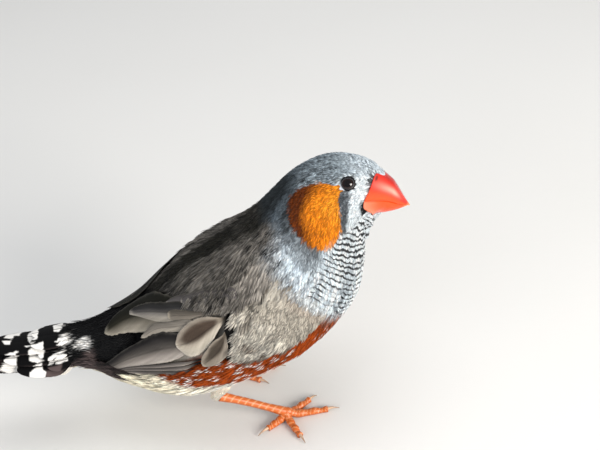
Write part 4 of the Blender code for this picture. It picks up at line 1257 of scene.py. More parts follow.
        # Light and dark streaks that run with the lie over several feathers.
        lie = np.radians(tract.turn + self._drift(u0, d0))
        over = MM_PER_DEGREE * d0 + np.tan(lie) * MM_PER_U * (u0 - 7.0)
        streak = 2.0 * grain(over / 0.55, MM_PER_U * u0 / 4.5, 31) - 1.0
        small = np.clip(along(self.gaps, u0) / 1.1, 0.4, 1.0)
        part = self._part_of(u0, d0)
        eye, _ = self.form.eye_place(side)
        for number, vane in enumerate(vanes):
            mine = kind == number
            place = self._drape(
                u0[mine], theta0[mine], length[mine], width[mine], turn[mine] * turned, tract, raised[mine], vane,
                small[mine],
            )
            points, u, theta = place
            near = np.linalg.norm(points - eye, axis=-1).min(axis=1) < self.eye_clear
            near &= np.abs(u0[mine] - self.form.eye_u) < 2.0
            tint, bars = self._paint(tract, u, theta, vane, lot[mine], streak[mine])
            rump = u0[mine] < 4.0
            if rump.any():
                black = (tint[rump].sum(-1, keepdims=True) < 0.12) * np.ones(3)
                spotted = tail_pattern(points[rump][..., 0], points[rump][..., 1], tint[rump], self.palette)
                tint[rump] = tint[rump] + (spotted - tint[rump]) * black
            flow = np.stack(
                [vane.across[None] * width[mine][:, None], vane.along[None] * length[mine][:, None]], -1
            )
            bake = self._unwrap(u0[mine], theta0[mine], vane)
            for index in np.unique(part[mine]):
                chosen = (part[mine] == index) & ~near
                if chosen.any():
                    name = self._piece_names()[int(index) * 2 + list(Side).index(side)]
                    stocks[name].add(
                        points[chosen], vane.tris, tint[chosen], flow[chosen], bake[chosen], bars[chosen]
                    )

    @staticmethod
    def _drift(u: Array, degrees: Array) -> Array:
        """How far the lie turns downwards, in degrees, over the cheek, the mantle and the flank."""
        cheek = np.interp(degrees, [30.0, 45.0, 100.0], [0.0, -22.0, 6.0])
        cheek = cheek * smooth(8.4, 9.0, u) * smooth(11.2, 10.6, u) * smooth(125.0, 105.0, degrees)
        mantle = 14.0 * smooth(8.6, 7.6, u) * smooth(4.4, 5.4, u) * smooth(10.0, 30.0, degrees)
        mantle = mantle * smooth(90.0, 66.0, degrees)
        flank = -12.0 * smooth(7.8, 6.8, u) * smooth(80.0, 104.0, degrees) * smooth(165.0, 140.0, degrees)
        return cheek + mantle + flank

    def _drape(
        self,
        u0: Array,
        theta0: Array,
        length: Array,
        width: Array,
        turn: Array,
        tract: Tract,
        raised: Array,
        vane: VaneMesh,
        small: Array,
    ) -> tuple[Array, Array, Array]:
        """Lays feathers of one cut over the surface.

        Args:
            u0: The roots' places along the spine.
            theta0: The roots' angles.
            length: Each feather's length.
            width: Each feather's half width.
            turn: The angle of its lie.
            tract: The field that it belongs to.
            raised: How much more its tip is lifted.
            vane: The feather's cut.
            small: The factor on its thickness.

        Returns:
            Points, u and theta, each as (feathers, vertices).
        """
        by_u, by_theta = self.form.measure(u0, theta0)
        by_u2, by_theta2 = self.form.measure(u0 - 0.7 * length / by_u, theta0)
        by_u, by_theta = (by_u + by_u2) / 2.0, (by_theta + by_theta2) / 2.0
        run = vane.along[None] * length[:, None]
        aside = vane.across[None] * width[:, None]
        cos, sin = np.cos(turn)[:, None], np.sin(turn)[:, None]
        u = u0[:, None] - (run * cos + aside * sin) / by_u[:, None]
        theta = theta0[:, None] + (run * sin - aside * cos) / by_theta[:, None]
        tips = tract.tips(u0, np.degrees(np.abs(theta0)))
        lift = (np.minimum(tips, 0.0) - tract.sunk * small)[:, None]
        rise = lift + (tips[:, None] + raised[:, None] - lift) * smooth(-0.4, 1.0, vane.along)[None]
        rise = rise + vane.rise[None] * small[:, None] - 0.12 * small[:, None] * vane.across[None] ** 2
        rise = rise - self.form.hollow(u, theta)
        return self.form.skin(u, theta, rise), u, theta

    def _unwrap(self, u0: Array, theta0: Array, vane: VaneMesh) -> Array:
        """Each feather's small patch at its root's place on the unwrapped skin."""
        last = len(STATIONS) - 1
        root = np.stack([0.02 + 0.96 * u0 / last, 0.5 + 0.48 * np.sin(theta0 / 2.0) * 0.99], -1)
        local = np.stack([np.clip(vane.across / 2.4, -0.5, 0.5), np.clip(vane.along, 0.0, 1.0) - 0.5], -1)
        return root[:, None] + local[None] * self.patch

    def _paint(
        self, tract: Tract, u: Array, theta: Array, vane: VaneMesh, lot: Array, streak: Array
    ) -> tuple[Array, Array]:
        """The colour of each vertex of some feathers.

        Args:
            tract: Their field.
            u: Places of their vertices.
            theta: Angles of their vertices.
            vane: Their cut.
            lot: A number from -1 to 1 for each feather.
            streak: How light the streak is that each feather lies in, from -1 to 1.

        Returns:
            Colours as (feathers, vertices, 3), and the count and strength of the bars at each vertex.
        """
        p = self.palette
        shown = int(np.argmin(np.abs(vane.along - 0.78) + np.abs(vane.across)))
        at_u, at = u[:, shown], theta[:, shown]
        base, barred = self.markings.colours(at_u, at)
        d = np.degrees(np.abs(np.arctan2(np.sin(at), np.cos(at))))
        colour = np.repeat(base[:, None, :], u.shape[1], axis=1)
        out = np.abs(vane.across)
        if tract.web is Web.COVERT:
            rim = 0.5 * smooth(0.6, 1.0, out) + 0.5 * smooth(0.8, 1.0, vane.along)
            covert = blend(blend(p.side, p.covert, np.array(0.45)), p.rim, 0.6 * rim)
            fade = smooth(8.0, 7.4, at_u) * smooth(34.0, 50.0, d)
            colour = colour + (covert[None] - colour) * fade[:, None, None]
        elif tract.web is Web.LOBE:
            cloud = grain(at_u * 3.0, d / 6.0, 8)
            above = wing_foot(at_u) - d
            lines = smooth(0.42, 0.66, grain(above / 2.2 + 3.0, at_u * 1.3, 12)) * smooth(26.0, 13.0, above)
            dull = 0.1 + 0.4 * smooth(0.5, 0.9, cloud) + 0.75 * lines + 0.15 * smooth(84.0, 66.0, d)
            soft = blend(p.side, p.covert_dark, np.clip(dull, 0.0, 0.95))
            fade = smooth(8.0, 7.6, at_u)
            colour = colour + (soft[:, None] - colour) * fade[:, None, None]
        cheek = within(at_u, d, CHEEK)
        # Dark shafts on the crown and the back, and light strands on the cheek.
        shaft = smooth(0.75, 0.1, out) * smooth(0.2, 0.55, vane.along)
        crown = smooth(8.9, 9.8, at_u) * smooth(80.0, 62.0, d) * (1.0 - cheek) * (1.0 - within(at_u, d, WHITE))
        crown = crown * (1.0 - 0.6 * smooth(10.7, 11.7, at_u))
        colour = blend(colour, p.crown_dark, 0.72 * crown[:, None] * shaft[None])
        back = smooth(8.5, 7.9, at_u) * smooth(4.6, 5.2, at_u) * smooth(76.0, 58.0, d)
        colour = blend(colour, p.mantle_dark, 0.62 * back[:, None] * shaft[None])
        bright = 0.5 * cheek * smooth(9.0, 9.9, at_u) * smooth(46.0, 66.0, d)
        colour = blend(colour, p.cheek_light, bright[:, None] * np.maximum(vane.strand, 0.0)[None])
        degrees = np.degrees(np.abs(np.arctan2(np.sin(theta), np.cos(theta))))
        count = self.markings.bars(u, degrees, 0.07 * lot[:, None])
        bars = np.stack([count, np.repeat(0.94 * barred[:, None], u.shape[1], axis=1)], -1)
        # White spots near the tips of some of the flank's feathers.
        flank = smooth(7.6, 7.3, at_u) * smooth(3.4, 3.7, at_u) * (d > 90.0)
        flank = flank * (d < self.markings.flank_edge(at_u) + 1.0) * (tract.web is None)
        spot = (smooth(0.17, 0.08, np.abs(vane.along - 0.8)) * smooth(0.6, 0.3, out))[None]
        colour = blend(colour, p.spot, spot * (flank * (np.abs(lot) > 0.68 + 0.16 * smooth(106.0, 122.0, d)))[:, None])
        loose = 0.25 + 0.2 * back + 0.12 * smooth(7.2, 8.2, at_u)
        each = 0.1 + 0.3 * crown + 0.1 * back
        plain = smooth(7.2, 7.8, at_u) * smooth(10.6, 9.6, at_u) * (1.0 - cheek)
        wide = 0.14 + 0.7 * back + 0.38 * plain * (1.0 - back) + 0.4 * (tract.web is Web.LOBE)
        shade = 1.0 + loose[:, None] * vane.strand[None] + (each * lot + wide * streak)[:, None]
        # depth darkens each feather towards its root: painted shade where the feathers overlap.
        depth = 0.5 + 0.5 * smooth(0.05, 0.6, vane.along)[None]
        return colour * (shade * depth)[..., None], bars


@dataclass
class BodySkin:
    """The one skin under the coat, from the tail's root to the bill, with the feathered thighs."""

    form: Form
    markings: Markings
    u_from: float = INDEX["tail_root"] + 0.0
    u_to: float = INDEX["bill_root"] + 0.0
    rings: int = 150
    around: int = 96
    depth: float = 0.85

    def build(self, legs: list["Leg"]) -> bpy.types.Object:
        """Makes the skin and joins the thighs to it.

        Args:
            legs: The legs whose thighs grow from the belly.

        Returns:
            The skin's piece.
        """
        us = np.linspace(self.u_from, self.u_to, self.rings)
        thetas = np.linspace(-math.pi, math.pi, self.around, endpoint=False)
        u, theta = np.meshgrid(us, thetas, indexing="ij")
        sunk = -self.depth * np.clip(along(Coat.gaps, u) / 1.1, 0.4, 1.0) - self.form.hollow(u, theta)
        points = self.form.skin(u, theta, sunk).reshape(-1, 3)
        colour, barred = self.markings.colours(u, theta)
        count = self.markings.bars(u, np.degrees(np.abs(theta)), np.zeros(u.shape))
        # The skin is a darker copy of the coat's colours: painted shade under the feathers.
        colour = colour.reshape(-1, 3) * 0.7
        tris = tube_tris(self.rings, self.around)
        maps = {"Vane": np.zeros((len(points), 2)), "Bars": np.stack([count, 0.9 * barred], -1).reshape(-1, 2)}
        skin = write_mesh("body_skin", self.form.to_model(points), tris, colour, maps)
        for leg in legs:
            join_solids(skin, leg.thigh_core())
        tree = KDTree(len(points))
        for number, point in enumerate(self.form.to_model(points)):
            tree.insert(point, number)
        tree.balance()
        tints = skin.data.color_attributes.get("Tint") or skin.data.color_attributes.new("Tint", "FLOAT_COLOR", "POINT")
        pale = np.append(Palette().vent, 1.0)
        for vertex, tint in zip(skin.data.vertices, tints.data):
            _, number, gap = tree.find(vertex.co)
            tint.color = pale if gap > 0.9 * MM else np.append(colour[number], 1.0)
        nodes = ["torso", "neck", "head", "thigh_left", "thigh_right"]
        return settle(skin, "torso_feathers", *nodes)


def tube_tris(rings: int, around: int) -> Array:
    """Triangles of a closed tube: quads between its rings, and a fan over each end."""
    tris = []
    for ring in range(rings - 1):
        for i in range(around):
            a, b = ring * around + i, ring * around + (i + 1) % around
            tris += [(a, b + around, b), (a, a + around, b + around)]
    last = (rings - 1) * around
    tris += [(0, k, k + 1) for k in range(1, around - 1)]
    tris += [(last, last + k + 1, last + k) for k in range(1, around - 1)]
    return np.array(tris)


def join_solids(target: bpy.types.Object, other: bpy.types.Object) -> None:
    """Joins other to target as one closed surface, and removes other."""
    modifier = target.modifiers.new("join", "BOOLEAN")
    modifier.operation, modifier.solver, modifier.object = "UNION", "EXACT", other
    bpy.context.view_layer.update()
    graph = bpy.context.evaluated_depsgraph_get()
    mesh = bpy.data.meshes.new_from_object(target.evaluated_get(graph))
    target.modifiers.clear()
    target.data = mesh
    bpy.data.objects.remove(other)


def tube(points: Array, radii: Array, around: int) -> tuple[Array, Array]:
    """A closed tube through points, thick as radii say.

    Args:
        points: The middle of each ring.
        radii: Each ring's radius, or one for each of its points.
        around: Points in a ring.

    Returns:
        Points and triangles.
    """
    points = np.asarray(points, float)
    ahead = np.gradient(points, axis=0)
    ahead /= np.linalg.norm(ahead, axis=1)[:, None]
    up = np.array([0.0, 0.0, 1.0]) - ahead * ahead[:, 2:3]
    up /= np.maximum(np.linalg.norm(up, axis=1)[:, None], 1e-6)
    side = np.cross(ahead, up)
    turn = np.linspace(0.0, 2.0 * math.pi, around, endpoint=False)
    radii = np.asarray(radii, float)
    radii = radii[:, None] if radii.ndim == 1 else radii
    ring = up[:, None] * np.cos(turn)[None, :, None] + side[:, None] * np.sin(turn)[None, :, None]
    return (points[:, None] + ring * radii[..., None]).reshape(-1, 3), tube_tris(len(points), around)


@dataclass(frozen=True)
class Toe:
    """A toe: the way it points in degrees outwards, its length, its claw's length and its thickness."""

    name: str
    way: float
    length: float
    claw: float
    root: float


@dataclass
class Leg:
    """A thigh, a low shank and a foot of four toes with curved claws."""

    form: Form
    palette: Palette
    side: Side
    shift: float
    turn: float
    heel: tuple[float, float, float] = (-14.6, 9.0, 10.2)
    foot: tuple[float, float, float] = (0.2, 9.0, 2.3)
    shank_radii: tuple[float, ...] = (1.35, 1.1, 1.0, 1.3)
    tip_radius: float = 0.72
    flat: float = 0.16
    shank_scute: float = 1.75
    toe_scute: float = 0.95
    toes: tuple[Toe, ...] = (
        Toe("inner", -38.0, 7.6, 3.0, 1.05),
        Toe("middle", -4.0, 10.2, 3.4, 1.15),
        Toe("outer", 67.0, 7.4, 3.0, 1.05),
        Toe("hind", 146.0, 5.6, 3.6, 1.15),
    )

    @property
    def base(self) -> Array:
        """The root of the toes."""
        return np.array([self.foot[0] + self.shift, self.side.value * self.foot[1], self.foot[2]])

    @property
    def heel_at(self) -> Array:
        """The heel."""
        return np.array([self.heel[0] + self.shift, self.side.value * self.heel[1], self.heel[2]])

    def thigh_line(self, count: int) -> tuple[Array, Array]:
        """The middle and the radii of the feathered thigh."""
        out = self.side.value
        rows = self.heel_at + np.array([[4.0, -out * 2.6, 7.6], [0.6, -out * 0.6, 2.9], [-0.9, 0.0, 0.5]])
        at = np.linspace(0.0, 2.0, count)
        line = np.stack([along(rows[:, axis], at) for axis in range(3)], -1)
        return line, np.interp(at, (0.0, 1.0, 2.0), (4.4, 2.1, 0.95))

    def thigh_core(self) -> bpy.types.Object:
        """The thigh's skin, to be joined to the body's."""
        line, radii = self.thigh_line(24)
        points, tris = tube(line, radii * 0.86, 40)
        tint = np.broadcast_to(self.palette.vent * 0.8, points.shape)
        maps = {"Vane": np.zeros((len(points), 2)), "Bars": np.zeros((len(points), 2))}
        return write_mesh("thigh_core", self.form.to_model(points), tris, tint, maps)

    def build(self) -> list[bpy.types.Object]:
        """Makes shank, foot and claws."""
        shank = Stock()
        line, radii = self._shank_line(90)
        self._scaled_tube(shank, line, radii, 28, self.shank_scute)
        foot = Stock()
        claws = Stock()
        for toe in self.toes:
            self._toe(foot, claws, toe)
        label = self.side.label
        return [
            settle(shank.piece("shank_scutes_" + label, self.form), "leg_skin", "shank_" + label),
            settle(foot.piece("toes_" + label, self.form), "leg_skin", "foot_" + label),
            settle(claws.piece("claws_" + label, self.form), "leg_skin"),
        ]

    def _shank_line(self, count: int) -> tuple[Array, Array]:
        """The middle and the radii of the shank, from the heel to the foot."""
        rows = np.array([self.heel_at, self.heel_at + (self.base - self.heel_at) * 0.45 + [0, 0, 0.25], self.base])
        at = np.linspace(0.0, 2.0, count)
        line = np.stack([along(rows[:, axis], at) for axis in range(3)], -1)
        radii = np.interp(np.linspace(0, 1, count), (0.0, 0.25, 0.75, 1.0), self.shank_radii)
        return line, radii * 0.96

    @staticmethod
    def _scaled_tube(stock: Stock, line: Array, radii: Array, around: int, scute: float) -> None:
        """Adds a tube whose front is banded by scutes of a length, pale where one meets the next."""
        run = np.concatenate([[0.0], np.cumsum(np.linalg.norm(np.diff(line, axis=0), axis=1))])
        turn = np.linspace(0.0, 2.0 * math.pi, around, endpoint=False)
        front = smooth(-0.5, 0.2, np.cos(turn))[None]
        slanted = run[:, None] / scute + 0.45 * np.sin(turn)[None]
        saw = slanted - np.floor(slanted)
        swell = 0.05 * (1.0 - saw) * smooth(0.0, 0.12, saw) * front
        size = radii[:, None] * (0.93 + swell)
        points, tris = tube(line, size, around)
        points[:, 2] = np.maximum(points[:, 2], 0.0)
        seam = smooth(0.12, 0.03, np.minimum(saw, 1.0 - saw)) * front
        leg, pale, deep = tone("c5611f"), tone("f0b98c"), tone("953f14")
        colour = blend(np.broadcast_to(leg, (*seam.shape, 3)), pale, 0.75 * seam)
        colour = blend(colour, deep, 0.45 * (1.0 - front) * np.ones(seam.shape))
        flow = np.stack(np.broadcast_arrays(turn[None] * radii[:, None], run[:, None]), -1)
        stock.add(points, tris, colour.reshape(-1, 3), flow)

    def _toe(self, foot: Stock, claws: Stock, toe: Toe) -> None:
        """Adds one toe and its claw."""
        way = math.radians(toe.way + self.turn)
        ahead = np.array([math.cos(way), self.side.value * math.sin(way), 0.0])
        shares = np.linspace(0.0, 1.0, 60)
        radii = toe.root + (self.tip_radius - toe.root) * shares
        radii = radii + 0.12 * np.cos(shares * 6.0 * math.pi) * (0.4 + 0.6 * shares)
        height = radii - self.flat + (self.base[2] - toe.root + self.flat) * (1.0 - smooth(0.0, 0.32, shares))
        line = self.base * [1, 1, 0] + ahead * toe.length * shares[:, None] + np.array([0, 0, 1.0]) * height[:, None]
        self._scaled_tube(foot, line, radii, 24, self.toe_scute)
        end = line[-1]
        t = np.linspace(0.0, 1.0, 26)
        curve = np.stack([t, np.zeros(26), 0.30 * np.sin(math.pi * t * 0.8) - 0.62 * t**2], -1)
        claw = end + ahead * toe.claw * curve[:, :1] - ahead * 0.5 + np.array([0.0, 0.0, 1.0]) * curve[:, 2:] + [0, 0, 0.05]
        thick = 0.5 * (1.0 - 0.86 * t**0.9)
        points, tris = tube(claw, thick, 16)
        points[:, 2] = np.maximum(points[:, 2], 0.0)
        horn = blend(tone("c9a98c"), tone("6d5a4c"), np.repeat(smooth(0.2, 1.0, t), 16) * 0.7)
        claws.add(points, tris, horn, np.zeros((len(points), 2)))


@dataclass(frozen=True)
class Arch:
    """A section of the bill: a share of the mouth's length, and each half's height and half width."""

    share: float
    culmen: float
    culmen_wide: float
    gonys: float
    gonys_wide: float


@dataclass
class Bill:
    """Both halves of the bill, with the mouth's line and the nostrils."""

    form: Form
    tip: tuple[float, float, float] = (34.3, 0.0, 51.5)
    gap: float = 0.12
    root_gap: float = 0.3
    mouth_drop: float = 1.0
    end_pitch: float = -32.0
    fullness: float = 0.85
    lower_length: float = 0.93
    corner: float = 103.0
    loft: float = 0.3
    stand: float = 0.12
    nostril: tuple[float, float] = (0.07, 0.66)
    rings: int = 70
    segments: int = 56
    arches: tuple[Arch, ...] = (
        Arch(0.0, 4.8, 4.5, 4.1, 4.4),
        Arch(0.12, 4.75, 4.3, 4.0, 4.15),
        Arch(0.28, 4.3, 3.85, 3.6, 3.7),
        Arch(0.45, 3.4, 3.2, 3.0, 3.05),
        Arch(0.62, 2.4, 2.4, 2.25, 2.3),
        Arch(0.78, 1.45, 1.6, 1.45, 1.5),
        Arch(0.91, 0.72, 0.85, 0.7, 0.8),
        Arch(1.0, 0.22, 0.24, 0.2, 0.24),
    )

    def build(self) -> list[bpy.types.Object]:
        """Makes the upper and the lower half."""
        upper = self._half("bill_upper_horn", 1.0)
        lower = self._half("bill_lower_horn", -1.0)
        return [settle(upper, "bill_upper", "bill_upper"), settle(lower, "bill_lower", "bill_lower")]

    def mouth(self, at: float) -> tuple[Array, Array]:
        """The mouth's line at a share of its length, and the direction that stands up from it."""
        root = STATIONS[INDEX["bill_root"]]
        lean = math.radians(root.pitch)
        start = np.array([root.x, 0.0, root.z]) + self.root_gap * np.array([math.cos(lean), 0.0, math.sin(lean)])
        start = start - self.mouth_drop * np.array([-math.sin(lean), 0.0, math.cos(lean)])
        pitch = lean + math.radians(self.end_pitch - root.pitch) * at
        up = np.array([-math.sin(pitch), 0.0, math.cos(pitch)])
        middle = start + (np.array(self.tip) - start) * at
        return middle + up * 0.35 * math.sin(math.pi * at) * (0.4 - at), up

    def sizes(self, way: float, shares: Array) -> tuple[Array, Array]:
        """Height and half width of one half, way 1 for the upper and -1 for the lower, at each share."""
        known = [arch.share for arch in self.arches]
        names = ("culmen", "culmen_wide") if way > 0.0 else ("gonys", "gonys_wide")
        heights, widths = (np.interp(shares, known, [getattr(arch, n) for arch in self.arches]) for n in names)
        kernel = np.array([0.25, 0.5, 0.25])
        for _ in range(6):
            heights[1:-1] = np.convolve(heights, kernel, "same")[1:-1]
            widths[1:-1] = np.convolve(widths, kernel, "same")[1:-1]
        return heights, widths

    def _base(self, way: float, turns: Array) -> Array:
        """The line on the face where one half begins."""
        corner = math.radians(self.corner)
        theta = corner * (2.0 * turns / math.pi - 1.0)
        if way < 0.0:
            theta = math.pi - (2.0 * turns / math.pi - 1.0) * (math.pi - corner)
        degrees = np.degrees(np.abs(np.arctan2(np.sin(theta), np.cos(theta))))
        u = bill_edge(degrees)
        stand = self.stand - 0.4 * smooth(52.0, 30.0, degrees)
        return self.form.skin(u, theta, stand - self.form.hollow(u, theta))

    def _half(self, name: str, way: float) -> bpy.types.Object:
        """One half: a loft from its line on the face into arches along the mouth.

        Args:
            name: The piece's name.
            way: 1 for the upper half, -1 for the lower.

        Returns:
            The piece.
        """
        length = 1.0 if way > 0.0 else self.lower_length
        shares = np.linspace(0.0, 1.0, self.rings)
        turns = np.linspace(0.0, math.pi, self.segments)
        base = self._base(way, turns)
        arch = np.sin(turns) ** self.fullness
        points, tints = [], []
        for share, tall, broad in zip(shares, *self.sizes(way, shares)):
            middle, up = self.mouth(share * length)
            near = np.hypot((share - self.nostril[0]) / 0.035, (np.sin(turns) - self.nostril[1]) / 0.11)
            hole = near if way > 0.0 else np.full(turns.shape, 9.0)
            hole = np.exp(-(hole**2))
            ridge = 1.0 + 0.03 * np.exp(-(((turns - math.pi / 2.0) / 0.16) ** 2)) - 0.09 * hole
            rise = self.gap / 2.0 + tall * arch * ridge
            aside = broad * np.cos(turns) * (1.0 - 0.09 * hole)
            ring = middle + up * way * rise[:, None] + np.array([0.0, 1.0, 0.0]) * aside[:, None]
            share_in = float(smooth(0.0, self.loft, share))
            points.append(base + (self.form.rolled(ring) - base) * share_in)
            tints.append(self._colour(way, share, arch, hole))
        tris = tube_tris(self.rings, self.segments)
        obj = write_mesh(name, self.form.to_model(np.concatenate(points)), tris, np.concatenate(tints))
        recalculate(obj)
        return obj

    @staticmethod
    def _colour(way: float, at: float, arch: Array, hole: Array) -> Array:
        """The horn's colour round one section: a painted highlight along the upper half's side, and the nostril's hole
        painted dark as shade.
        """
        deep, red, orange, light = tone("960b06"), tone("c92007"), tone("e04604"), tone("f4a273")
        if way > 0.0:
            colour = blend(np.broadcast_to(orange, (len(arch), 3)), red, smooth(0.05, 0.5, arch))
            colour = blend(colour, deep, 0.7 * smooth(0.7, 1.0, arch) * float(smooth(0.9, 0.3, at)))
            # A pale band on the upper half's side is a painted highlight, not a colour of the horn.
            pale = np.exp(-(((arch - 0.55) / 0.14) ** 2)) * math.exp(-(((at - 0.34) / 0.2) ** 2))
            colour = blend(colour, tone("ffc4b0"), 0.62 * pale)
            # The nostril's pit is painted near black as shade.
            colour = blend(colour, tone("2a0806"), 0.7 * smooth(0.35, 0.8, hole))
        else:
            colour = blend(np.broadcast_to(orange, (len(arch), 3)), red, 0.2 * smooth(0.3, 1.0, arch))
            corner = smooth(0.24, 0.04, at) * smooth(1.0, 0.4, arch)
            colour = blend(colour, tone("ef8f72"), 0.5 * corner)
        return blend(colour, light, 0.75 * smooth(0.84, 1.0, at) * np.ones(len(arch)))


@dataclass
class ChinCoat:
    """The chin's small feathers, from the lower half of the bill down to the throat."""

    form: Form
    palette: Palette
    seed: int = 43
    # The chin's middle line in x and z, from the bill to the throat, and its half width on the way.
    line: tuple[tuple[float, float], ...] = ((28.7, 51.4), (27.6, 50.5), (26.4, 49.5), (25.4, 48.2), (24.7, 46.6))
    wide: tuple[float, ...] = (1.0, 2.3, 3.3, 4.0, 4.4)
    rows: int = 12

    def build(self) -> bpy.types.Object:
        """Lays the feathers in rows down the chin."""
        rng = np.random.default_rng(self.seed)
        stock = Stock()
        vane = VaneShape(rings=4, columns=3, barbs=4, aspect=3.4).build(rng)
        for row, t in enumerate(np.linspace(0.0, 3.4, self.rows)):
            middle = np.array([float(along([p[0] for p in self.line], t)), 0.0, float(along([p[1] for p in self.line], t))])
            nearby = [float(along([p[k] for p in self.line], min(t + 0.3, 4.0))) for k in (0, 1)]
            back = np.array([nearby[0] - middle[0], 0.0, nearby[1] - middle[2]])
            back /= np.linalg.norm(back)
            front = np.array([-back[2], 0.0, back[0]])
            wide = float(along(self.wide, t))
            count = max(int(2.0 * wide / 0.5), 4)
            for number in range(count):
                turn = math.radians(68.0) * ((number + 0.5 * (row % 2)) / (count - 0.5) * 2.0 - 1.0)
                out = front * math.cos(turn) + np.array([0.0, math.sin(turn), 0.0])
                root = middle + np.array([0.0, wide * math.sin(turn), 0.0]) - front * wide * (1.0 - math.cos(turn))
                self._lay(stock, vane, (root, back, out), t, rng)
        return settle(stock.piece("coat_chin", self.form), "head_feathers")

    def _lay(
        self, stock: Stock, vane: VaneMesh, pose: tuple[Array, Array, Array], t: float, rng: np.random.Generator
    ) -> None:
        """Lays one feather, whose pose is its root, its lie and the way it faces."""
        root, back, out = pose
        across = np.cross(back, out)
        length, width = (1.5 + 0.2 * t) * (1.0 + rng.normal(0.0, 0.1)), 0.42 + 0.04 * t
        rise = -0.35 + 0.3 * vane.along + 0.5 * vane.rise
        points = root + back * (vane.along * length)[:, None] + across * (vane.across * width)[:, None]
        points = self.form.rolled(points + out * rise[:, None])
        # Darker towards the root, as painted shade between the feathers, with some random tone.
        shade = (1.0 + 0.12 * rng.normal() + 0.2 * vane.strand) * (0.7 + 0.3 * vane.along)
        tint = self.palette.face[None] * shade[:, None] * 0.95
        local = np.stack([np.clip(vane.across / 2.4, -0.5, 0.5), np.clip(vane.along, 0.0, 1.0) - 0.5], -1)
        corner = np.array([0.9 + 0.0004 * (stock.count // len(vane.along) % 150), 0.98])
        flow = np.stack([vane.across * width, vane.along * length], -1)
        bars = np.stack([t * 1.1 + vane.along * 1.1, np.full(vane.along.shape, 0.55 * float(smooth(0.7, 2.2, t)))], -1)
        stock.add(points, vane.tris, tint, flow, corner + local * 0.003, bars)


def recalculate(obj: bpy.types.Object) -> None:
    """Makes an object's faces look outwards."""
    made = bmesh.new()
    made.from_mesh(obj.data)
    bmesh.ops.recalc_face_normals(made, faces=made.faces)
    made.to_mesh(obj.data)
    made.free()


@dataclass
class Eye:
    """An eye: a dark, wet ball with a brown iris, in a narrow ring of bare lids."""

    form: Form
    palette: Palette
    side: Side
    radius: float = 1.96
    lid_radius: float = 1.3
    lid_thick: float = 0.13
    lid_high: float = 0.06
    lid_oval: float = 0.14

    def build(self) -> list[bpy.types.Object]:
        """Makes the ball and the lids."""
        place, outward = self.form.eye_place(self.side)
        outward = outward / np.linalg.norm(outward)
        first = np.cross(outward, [0.0, 0.0, 1.0])
        first /= np.linalg.norm(first)
        second = np.cross(outward, first)
        centre = self.form.eye_centre(self.side)
        rings, around = 48, 48
        polar = np.linspace(0.01, math.pi - 0.01, rings)
        turn = np.linspace(0.0, 2.0 * math.pi, around, endpoint=False)
        ring = first * np.cos(turn)[:, None] + second * np.sin(turn)[:, None]
        bulge = self.radius * (1.0 + 0.035 * smooth(0.9, 0.0, polar))
        points = centre + (
            outward * (np.cos(polar) * bulge)[:, None, None] + ring[None] * (np.sin(polar) * bulge)[:, None, None]
        )
        iris, rim, pupil = tone("1d0d07"), tone("0b0605"), tone("030202")
        colour = blend(np.broadcast_to(iris, (rings, 3)), rim, smooth(0.5, 0.75, polar))
        colour = blend(colour, pupil, smooth(0.47, 0.42, polar))
        tint = np.repeat(colour, around, axis=0)
        tris = tube_tris(rings, around)
        ball = write_mesh("eye_ball_" + self.side.label, self.form.to_model(points.reshape(-1, 3)), tris, tint)
        recalculate(ball)
        return [settle(ball, "eye", "eye_" + self.side.label), self._lids(place, outward, first, second)]

    def _lids(self, place: Array, outward: Array, first: Array, second: Array) -> bpy.types.Object:
        """The ring of fine-beaded bare skin round the eye."""
        rings, around = 120, 14
        turn = np.linspace(0.0, 2.0 * math.pi, rings, endpoint=False)
        out = first * np.cos(turn)[:, None] + second * np.sin(turn)[:, None]
        bead = 1.0 + 0.12 * np.sin(turn * 34.0)
        oval = self.lid_radius * (1.0 - self.lid_oval * np.sin(turn) ** 2)
        middle = place + outward * self.lid_high + out * oval[:, None]
        small = np.linspace(0.0, 2.0 * math.pi, around, endpoint=False)
        thick = (self.lid_thick * bead)[:, None, None]
        points = middle[:, None] + thick * (
            out[:, None] * np.cos(small)[None, :, None] + outward * np.sin(small)[None, :, None]
        )
        tris = []
        for i in range(rings):
            for j in range(around):
                a, b = i * around + j, i * around + (j + 1) % around
                c, d = ((i + 1) % rings) * around + j, ((i + 1) % rings) * around + (j + 1) % around
                tris += [(a, b, d), (a, d, c)]
        inner = smooth(0.3, -0.6, np.cos(small))
        colour = blend(np.broadcast_to(tone("2b2c2e"), (around, 3)), tone("0a0909"), inner)
        tint = np.tile(colour, (rings, 1))
        place = self.form.to_model(points.reshape(-1, 3))
        lids = write_mesh("lids_" + self.side.label, place, np.array(tris), tint)
        recalculate(lids)
        return settle(lids, "head_feathers")


@dataclass(frozen=True)
class TailRow:
    """A row of tail feathers, each pair from the middle feather of a side to the outermost."""

    name: str
    pairs: int
    across: tuple[float, float]
    height: tuple[float, float]
    turn: tuple[float, float]
    tip_x: tuple[float, float]
    width: tuple[float, float]
    rise: float


